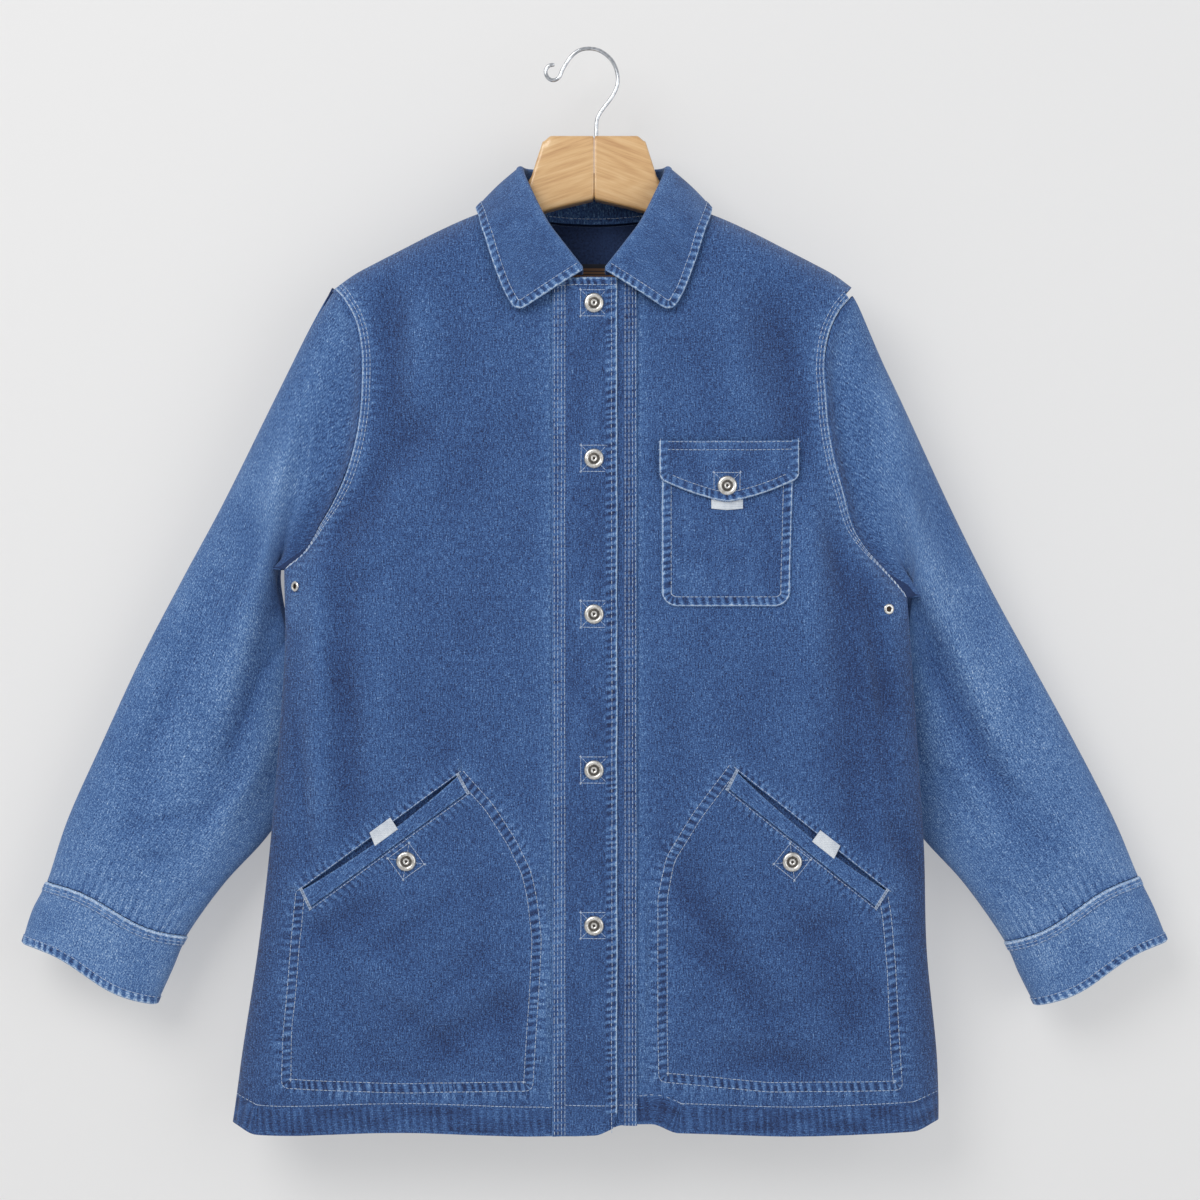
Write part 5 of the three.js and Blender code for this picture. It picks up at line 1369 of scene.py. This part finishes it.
def chest_pieces():
    bag, flap, tab = Pile(), Pile(), Pile()
    cloth_at = cut_from(0.35)
    steps_u, steps_v = fine_steps(70, 0.012), fine_steps(76, 0.011)
    for pile, place, v, low, thick, size in (
        (bag, chest_pocket_place, steps_v, SEAM_GAP, CLOTH, (117, 136)),
        (flap, flap_place, fine_steps(34, 0.03), FLAP_LIFT, DOUBLE, (123, 44)),
    ):
        laid(pile, FRONT, place, steps_u, v, low, low + thick, cloth_at, pocket_wear, size)
    low = 2 * SEAM_GAP + CLOTH

    def tab_place(u, v):
        x = mix(CHEST_TAB["left"], CHEST_TAB["right"], u)
        return x, mix(CHEST_TAB["bottom"] + 1.2 * np.abs(2 * u - 1), CHEST_TAB["top"], v)

    steps = fine_steps(16, 0.04), fine_steps(10, 0.08)
    laid(tab, FRONT, tab_place, *steps, low, low + TAPE, cloth_at, 0.3, (28, 15), inside=0)
    pieces = [
        dress(pile.build(f"cloth_{node}", DENIM, INSIDE_SHADED), "denim", node)
        for pile, node in ((bag, "chest_pocket"), (flap, "chest_flap"))
    ]
    return [*pieces, dress(tab.build("tape_chest", TAPE_CLOTH), "white_tape", "chest_tab")]


def chest_seams():
    bands, rows = Pile(), Pile()
    top = SEAM_GAP + CLOTH
    u = np.concatenate([np.full(30, 0.006), np.linspace(0.01, 0.99, 60), np.full(30, 0.994)])
    v = np.concatenate([np.linspace(0.96, 0.01, 30), np.full(60, 0.004), np.linspace(0.01, 0.96, 30)])
    outline = np.column_stack(chest_pocket_place(u, v))
    seam_band(bands, FRONT, outline, 0, 9, lift=top, wear=0.29, crest=0.65, layer=114)
    stitches(rows, FRONT, outline, 0.8, height=top + 0.75, seed=115)
    stitches(rows, FRONT, outline, 8.2, height=top + 0.95, seed=116)
    high = FLAP_LIFT + DOUBLE
    low = np.column_stack(flap_place(np.linspace(0.004, 0.996, 100), np.full(100, 0.006)))
    left, right = FLAP["left"] + 0.4, FLAP["right"] - 0.4
    top, shoulder = FLAP["top"], FLAP["shoulder"] + 6
    sides = [line_path(left, top, left, shoulder, 10), line_path(right, shoulder, right, top, 10)]
    for k, edge in enumerate((low, *sides)):
        seam_band(bands, FRONT, edge, 0, 8.6, lift=high, wear=0.28, rope=0.8, crest=0.65, layer=117 + k)
        stitches(rows, FRONT, edge, 0.9, height=high + 0.75, seed=118 + k)
    stitches(rows, FRONT, low[8:-8], 8.0, height=high + 0.95, seed=121)
    for z in (FLAP["top"] - 1.2, FLAP["top"] - 8.2):
        across = line_path(FLAP["left"] + 1, z, FLAP["right"] - 1, z)
        stitches(rows, FRONT, across, height=high + 0.5, seed=122)
    return bands.build("seams_chest", SEAM_DENIM), rows.build("stitches_chest", THREAD)


def mouth_place(side, u, up):
    """Place in a pocket's mouth: u from its side end to its middle end, up in mm from its lower edge."""
    high_side, high_middle, low_middle, low_side = (np.array(corner) for corner in HIP[side])
    u, up = np.asarray(u, float)[..., None], np.asarray(up, float)[..., None]
    low, high = mix(low_side, low_middle, u), mix(high_side, high_middle, u)
    place = mix(low, high, up / np.linalg.norm(high - low, axis=-1, keepdims=True))
    return place[..., 0], place[..., 1]


def welt_top(u):
    return MOUTH_HEIGHT - 0.5 - WELT_GAP * np.sin(np.pi * clamp01(u)) ** 0.8


def hip_pieces(side):
    bag, welt, tab = Pile(), Pile(), Pile()

    def bag_place(u, v):
        z = mix(HIP_BAG.rows[0, 0], HIP_BAG.rows[-1, 0], v)
        return mix(HIP_BAG(f"{side}_out", z), HIP_BAG(f"{side}_in", z), u), z

    def welt_place(u, v):
        along = mix(0.004, 0.996, u)
        return mouth_place(side, along, mix(0.5, welt_top(along), v))

    def tab_place(u, v):
        along = HIP_TAB_AT[side] + (u - 0.5) * 25 / 173 * mix(1.0, 0.9, v)
        return mouth_place(side, along, mix(MOUTH_HEIGHT - 7.5, MOUTH_HEIGHT + 5, v))

    cloth_at = cut_from(0.5)
    along, across = 0.8, 0.6 * SIGN[side]
    welt_cloth = lambda x, z: ((x * along + z * across) * MM + 0.1, (z * along - x * across) * MM)
    deep = -SEAM_GAP / 2 - CLOTH - 2 * SEAM_GAP - BAG_SINK
    steps = np.linspace(0, 1, 40), np.linspace(0, 1, 50)
    laid(bag, FRONT_LINE, bag_place, *steps, deep - CLOTH, deep, cloth_at, 0.2, (220, 290))
    spots = lambda x, z: 0.06 * noise(x / 12, z / 12, 120) + 0.04 * noise(x / 4, z / 5, 121)
    welt_wear = lambda x, z: WEAR["welt"] + spots(x, z)
    steps = fine_steps(110, 0.006), fine_steps(12, 0.07)
    laid(welt, FRONT, welt_place, *steps, -1.6, WELT_TOP, welt_cloth, welt_wear, (173, 16))
    steps = fine_steps(14, 0.04), fine_steps(9, 0.08)
    laid(tab, FRONT, tab_place, *steps, WELT_TOP, WELT_TOP + TAPE, cloth_at, 0.3, (25, 12.5), inside=0)
    pieces = [
        dress(pile.build(f"cloth_{kind}_{side}", DENIM, INSIDE_SHADED), "denim", f"{kind}_{side}")
        for pile, kind in ((bag, "hip_bag"), (welt, "hip_welt"))
    ]
    return [*pieces, dress(tab.build(f"tape_hip_{side}", TAPE_CLOTH), "white_tape", f"hip_tab_{side}")]


def hip_seams(side):
    bands, rows = Pile(), Pile()
    inside = SIGN[side]
    line = lambda ends, up: np.column_stack(mouth_place(side, np.linspace(*ends, 60), np.full(60, up)))
    stitches(rows, FRONT, line((0.0, 1.0), -1.3), height=0.75, seed=130)
    stitches(rows, FRONT, line((-0.01, 1.01), MOUTH_HEIGHT + 1.1), height=0.7, seed=133)
    above = line((-0.01, 1.01), MOUTH_HEIGHT + 0.2)
    seam_band(bands, FRONT, above, 0, -inside * 6.5, rise=0.4, wear=0.3, rope=0.9, crest=0.2, layer=134)
    below = line((0.0, 1.0), -0.2)
    # the negative crest paints a thin dark line along the mouth's lower edge: painted shadow under the welt
    seam_band(bands, FRONT, below, 0, inside * 7, rise=0.3, wear=0.26, rope=0.9, crest=-0.15, layer=137)
    for end in (0.004, 0.996):
        column = np.column_stack(mouth_place(side, np.full(12, end), np.linspace(0, MOUTH_HEIGHT, 12)))
        for shift in (-1.1, -0.4, 0.4, 1.1):
            stitches(rows, FRONT, column, shift, height=1.3, pitch=3.0, seed=136)
    return bands.build(f"seams_hip_{side}", SEAM_DENIM), rows.build(f"stitches_hip_{side}", THREAD)


# Collar and label
COLLAR_MM = (20, 80)  # millimetres for each unit of s and of q
TIP_RADIUS = 7.5


def round_tips(s, q):
    """Moves the collar's parameters so that the two tips are rounded."""
    near_s = np.minimum(s, COLLAR_END - s)
    reach = zip((near_s, 1 - q), COLLAR_MM)
    across, down = (clamp01(1 - value * scale / TIP_RADIUS) for value, scale in reach)
    both = (across > 0) & (down > 0)
    shrink = np.where(both, np.maximum(across, down) / np.maximum(np.hypot(across, down), 1e-9), 1.0)
    near = np.where(both, TIP_RADIUS * (1 - across * shrink) / COLLAR_MM[0], near_s)
    deep = np.where(both, 1 - TIP_RADIUS * (1 - down * shrink) / COLLAR_MM[1], q)
    return np.where(s < COLLAR_MIDDLE, near, COLLAR_END - near), deep


def collar():
    tips = np.array([0.08, 0.16, 0.24])
    s = np.unique(np.concatenate([np.linspace(0, COLLAR_END, 270), tips, (COLLAR_END - tips)[::-1]]))
    parts = ((0, STAND_END, 12), (STAND_END, FOLD_END, 10), (FOLD_END, 1, 34))
    q = np.unique(np.concatenate([*[np.linspace(*part) for part in parts], [0.985, 0.995]]))
    q, s = np.meshgrid(q, s)
    border = np.minimum(np.minimum(s, COLLAR_END - s) * COLLAR_MM[0], (1 - q) * COLLAR_MM[1])
    rounding = 0.9 * (1 - quarter(border / EDGE_ROUND))
    outer = COLLAR_SURFACE.at(*round_tips(s, q), DOUBLE / 2 - rounding)
    inner = COLLAR_SURFACE.at(*round_tips(s, q), -DOUBLE / 2 + rounding)
    rub = 0.1 * bell(q - 0.36, 0.07) + 0.25 * fall(border, FRAY)
    wear = WEAR["collar"] + 0.04 * noise(s * 2.2, q * 4, 140) + 0.04 * noise(s * 7, q * 9, 141) + rub
    pile = Pile()
    pile.shell(outer, inner, (s * 0.055, q * 0.09), wear)
    return dress(pile.build("cloth_collar", DENIM, INSIDE_SHADED), "denim", "collar")


def collar_seams():
    bands, rows = Pile(), Pile()
    top = DOUBLE / 2
    ends = np.linspace(0.42, 0.99, 80)
    turn = np.concatenate([np.full(80, 0.01), np.linspace(0.02, 11.98, 700), np.full(80, 11.99)])
    width = np.concatenate([ends, np.full(700, 0.995), ends[::-1]])
    edge = np.column_stack(round_tips(turn, width))
    seam_band(bands, COLLAR_SURFACE, edge, 0, -8.5, lift=top, wear=0.32, crest=0.6, layer=142)
    stitches(rows, COLLAR_SURFACE, edge, -7.2, height=top + 0.9, seed=145)
    neck = np.column_stack([np.linspace(0.6, 11.4, 220), np.full(220, 0.03)])
    stitches(rows, COLLAR_SURFACE, neck, height=top + 0.2, seed=149)
    return bands.build("seams_collar", SEAM_DENIM), rows.build("stitches_collar", THREAD)


def label():
    pile = Pile()
    half, low = LABEL["half"], -CLOTH - SEAM_GAP / 2 - TAPE

    def place(u, v):
        return mix(-half, half, u), mix(LABEL["bottom"], LABEL["top"], v)

    cloth_at = lambda x, z: (x * MM, (z - LABEL["bottom"]) * MM)
    steps = fine_steps(40, 0.02), fine_steps(24, 0.03)
    laid(pile, BACK, place, *steps, low, low + TAPE, cloth_at, 0.3, (62, 34), inside=0)
    return dress(pile.build("label_neck", LABEL_CLOTH), "label_cloth", "neck_label")


# Metal
SNAP_PROFILE = Table(
    "step radius height tone",
    (0, 0.01, 0.6, 0.1), (1, 1.0, 0.6, 0.1), (2, 1.3, 1.9, 0.9), (3, 2.0, 2.3, 1), (4, 2.7, 2.2, 1),
    (5, 3.1, 1.6, 0.6),
    (6, 3.4, 0.9, 0.15), (7, 4.4, 0.8, 0.15), (8, 4.9, 1.2, 0.7), (9, 5.5, 1.8, 1), (10, 6.3, 2.1, 1),
    (11, 7.4, 1.95, 0.9),
    (12, 8.3, 1.3, 0.85), (13, 8.7, 0.6, 0.8), (14, 8.5, 0, 0.5), (15, 0.01, 0, 0.5),
)
# The first two rows make a flat disc in the darkest tone that closes the eyelet's hole: painted shade where
# the hole is
EYELET_PROFILE = Table(
    "step radius height tone",
    (0, 0.01, 0.3, 0), (1, 1.9, 0.3, 0), (2, 2.1, 0.9, 0.6), (3, 2.8, 1.5, 1), (4, 3.8, 1.5, 1),
    (5, 4.5, 1.0, 1),
    (6, 4.7, 0.2, 0.8), (7, 4.4, 0, 0.5), (8, 0.01, 0, 0.1),
)


def turned(pile, profile, x, z, lift, count=48):
    """A lathe part with its axis along the front's normal."""
    reach = 9
    centre = FRONT_LINE.at(x, z, lift)
    level = lambda dx, dz: body_y("front", x + dx, z + dz)
    slope = lambda dx, dz: (level(dx, dz) - level(-dx, -dz)) / (2 * reach)
    axis = unit(np.array([slope(reach, 0), -1, slope(0, reach)], float))
    side = unit(np.cross(axis, [0.0, 0.0, 1.0]))
    up = np.cross(side, axis)
    angle = 2 * np.pi * np.arange(count) / count
    ring = np.cos(angle)[:, None] * side + np.sin(angle)[:, None] * up
    _, radius, height, tone = (column[:, None, None] for column in profile.rows.T)
    points = centre + radius * ring + height * axis
    cloth = (radius[..., 0] * MM, angle * 0.01 + 0.003 * x)
    pile.grid(points, cloth, tone[..., 0], wrap=True, flip=True)


def metal_parts():
    snaps, rings, patches = Pile(), Pile(), Pile()
    lift = band_climb(0.0) + DOUBLE
    places = [(0.0, SNAP_FIRST - SNAP_PITCH * i, lift, 0.0) for i in range(SNAP_COUNT)]
    places.append((FLAP["middle"], FLAP["snap_z"], FLAP_LIFT + DOUBLE, 0.0))
    for side in SIDES:
        (x0, z0), (x1, z1) = HIP[side][0], HIP[side][1]
        places.append((*HIP_SNAP[side], 0.3, math.atan2(z1 - z0, x1 - x0)))
    for x, z, lift, angle in places:
        turned(snaps, SNAP_PROFILE, x, z, lift + 0.3)
        patch(patches, x, z, lift, angle)
    for side in SIDES:
        x, z = EYELET_AT[side]
        turned(rings, EYELET_PROFILE, x, z, 0.2, 32)
    front_snaps = [f"front_snap_{i + 1}" for i in range(SNAP_COUNT)]
    hip_snaps = [f"hip_snap_{side}" for side in SIDES]
    dress(snaps.build("snaps", NICKEL), "snap_metal", "chest_snap", *front_snaps, *hip_snaps)
    dress(rings.build("eyelets", NICKEL), "snap_metal", *[f"eyelet_{side}" for side in SIDES])
    return patches.build("stitches_snaps", THREAD)


def patch(pile, x, z, lift, angle, half=11.5):
    """Square of stitches round a snap, with the two diagonals."""
    turn = np.array([[math.cos(angle), -math.sin(angle)], [math.sin(angle), math.cos(angle)]])
    corners = [(-half, -half), (half, -half), (half, half), (-half, half)]
    lines = [(corners[i], corners[(i + 1) % 4]) for i in range(4)]
    for cx, cz in corners:
        lines.append(((cx, cz), (cx * 0.55, cz * 0.55)))
    for k, line in enumerate(lines):
        (x0, z0), (x1, z1) = (np.array(line) @ turn.T) + (x, z)
        stitches(pile, FRONT, line_path(x0, z0, x1, z1, 8), height=lift + 0.25, pitch=3.3, seed=150 + k)


# Hanger
def hanger_top(x):
    dip = 5 * bell(x - NECK_HALF, 9)
    shoulder = shoulder_z(x) - CLOTH - 0.7 - dip - 2 * smooth((x - 180) / 20)
    block = BLOCK_TOP - 5 * smooth((x - BLOCK_HALF + 8) / 8)
    slope = mix(BLOCK_TOP - 5, FLARE_Z, (x - BLOCK_HALF) / (FLARE - BLOCK_HALF))
    arm = mix(FLARE_Z, shoulder, clamp01((x - FLARE) / (NECK_HALF - 6 - FLARE)))
    return np.where(x <= BLOCK_HALF, block, np.where(x <= FLARE, slope, arm))


def hanger_arm(side):
    x = np.unique(np.concatenate([np.linspace(0.25, 60, 60), np.linspace(60, 208, 70), [212, 214.5, 216]]))
    angle = 2 * np.pi * np.arange(64) / 64
    angle, x = np.meshgrid(angle, x)
    top, bottom = hanger_top(x), HANGER_BOTTOM("z", x)
    power = mix(0.3, 0.75, smooth((x - 50) / 18))
    box = lambda value: np.sign(value) * np.abs(value) ** power
    end = np.sqrt(np.maximum(0, 1 - 0.7 * clamp01((x - 206) / 10) ** 2)) * mix(0.93, 1.0, smooth(x / 1.2))
    y0 = DEPTH("seam", np.clip(shoulder_z(x), -213, -130))
    half = (top - bottom) / 2
    y = y0 + HANGER_THICK / 2 * box(np.cos(angle)) * end
    z = (top + bottom) / 2 + half * box(np.sin(angle)) * end
    points = np.stack([SIGN[side] * x, y, z], -1)
    cloth = (SIGN[side] * x * MM, (z + 0.35 * x + 0.2 * y) * MM)
    pile = Pile()
    pile.grid(points, cloth, 0.5, wrap=True, flip=side == "right")
    for row, turn in ((0, side == "right"), (-1, side == "left")):
        pile.cap(points[row], points[row][:, 1:] * MM, turn)
    return dress(pile.build(f"wood_arm_{side}", WOOD, sharp=50), "wood", f"hanger_arm_{side}")


def hook():
    """Steel wire swept along a smooth curve through the hook's points."""
    path = np.array(HOOK_PATH, float)
    t = np.linspace(0, 1, len(path))
    curve = [Table("t v", *zip(t, path[:, k])) for k in (0, 1)]
    at = np.linspace(0, 1, 260)
    centre = np.column_stack([curve[0]("v", at), 0 * at, curve[1]("v", at) - 0.1])
    tangent = unit(np.gradient(centre, axis=0))
    across = np.cross(tangent, [0.0, 1.0, 0.0])
    angle = 2 * np.pi * np.arange(20) / 20
    radius = WIRE * np.where(np.arange(260) > 257, 0.8, 1.0)
    sideways = np.array([0.0, 1.0, 0.0])
    ring = np.cos(angle)[None, :, None] * across[:, None] + np.sin(angle)[None, :, None] * sideways
    points = centre[:, None] + radius[:, None, None] * ring
    pile = Pile()
    pile.grid(points, (angle[None] * 0.002, at[:, None] * 0.18), 1.0, wrap=True)
    for row, turn in ((0, False), (-1, True)):
        pile.cap(points[row], (0, 0), turn)
    return dress(pile.build("hook_wire", CHROME, sharp=60), "hook_steel", "hanger_hook")


# Assembly
def both(make):
    return {side: make(side) for side in SIDES}


front = both(front_panel)
back = back_panel()
sleeves = both(sleeve)
cuffs = both(cuff)
bands = both(placket)
chest_bag, chest_flap, chest_tape = chest_pieces()
hips = both(hip_pieces)
collar_piece = collar()
label_piece = label()
body_trim = body_seams()
cuff_trim = both(cuff_seams)
placket_trim = placket_seams()
chest_trim = chest_seams()
hip_trim = both(hip_seams)
collar_trim = collar_seams()
snap_trim = metal_parts()
both(hanger_arm)
hook()


# Studio: a plain pale wall behind the jacket, seen only from its front, and a pale floor below
def plain(name, colour, glow=0.0, one_sided=False):
    n = Nodes(name, roughness=0.95)
    n.shader.inputs["Base Color"].default_value = colour
    n.shader.inputs["Emission Color"].default_value = (1, 1, 1, 1)
    n.shader.inputs["Emission Strength"].default_value = glow
    if one_sided:
        through, output = n.add("BsdfTransparent"), n.tree.nodes["Material Output"]
        choice = n.add("MixShader")
        n.join(n.add("NewGeometry").outputs["Backfacing"], choice.inputs[0])
        n.join(n.shader.outputs[0], choice.inputs[1])
        n.join(through.outputs[0], choice.inputs[2])
        n.join(choice.outputs[0], output.inputs["Surface"])
    return n.material


def board(name, corners, material):
    mesh = bpy.data.meshes.new(name)
    mesh.from_pydata(corners, [], [(0, 1, 2, 3)])
    mesh.materials.append(material)
    piece = bpy.data.objects.new(name, mesh)
    bpy.context.scene.collection.objects.link(piece)


def area_light(name, place, target, size, power, colour):
    data = bpy.data.lights.new(name, "AREA")
    data.shape, data.size, data.energy, data.color = "DISK", size, power, colour
    lamp = bpy.data.objects.new(name, data)
    lamp.location = place
    lamp.rotation_euler = (Vector(target) - Vector(place)).to_track_quat("-Z", "Y").to_euler()
    bpy.context.scene.collection.objects.link(lamp)


WALL_Y, FLOOR_Z = 0.062, -1.32
wall_corners = [(-3, WALL_Y, FLOOR_Z), (3, WALL_Y, FLOOR_Z), (3, WALL_Y, 2), (-3, WALL_Y, 2)]
board("wall", wall_corners, plain("wall", linear(178, 177, 176), glow=0.33, one_sided=True))
floor_corners = [(x, y, FLOOR_Z) for x, y in ((-4, -4), (4, -4), (4, 4), (-4, 4))]
board("floor", floor_corners, plain("floor", linear(220, 220, 220)))
area_light("key", (-1.5, -2.6, 1.2), (0, 0, -0.45), 2.2, 62, (1.0, 0.99, 0.97))
area_light("fill", (2.2, -2.4, -0.2), (0, 0, -0.5), 2.4, 22, (0.96, 0.98, 1.0))

world = bpy.data.worlds.new("studio")
world.use_nodes = True
world.node_tree.nodes["Background"].inputs["Color"].default_value = (0.86, 0.89, 0.94, 1)
world.node_tree.nodes["Background"].inputs["Strength"].default_value = 0.55
bpy.context.scene.world = world
bpy.context.scene.view_settings.view_transform = "Standard"

# Camera: straight at the front, from the height of the chest
camera_data = bpy.data.cameras.new("camera")
camera_data.sensor_width, camera_data.lens = 36, 81
camera = bpy.data.objects.new("camera", camera_data)
camera.location = (0.0053, -2.42, -0.492)
camera.rotation_euler = (math.radians(90), 0, 0)
bpy.context.scene.collection.objects.link(camera)
bpy.context.scene.camera = camera
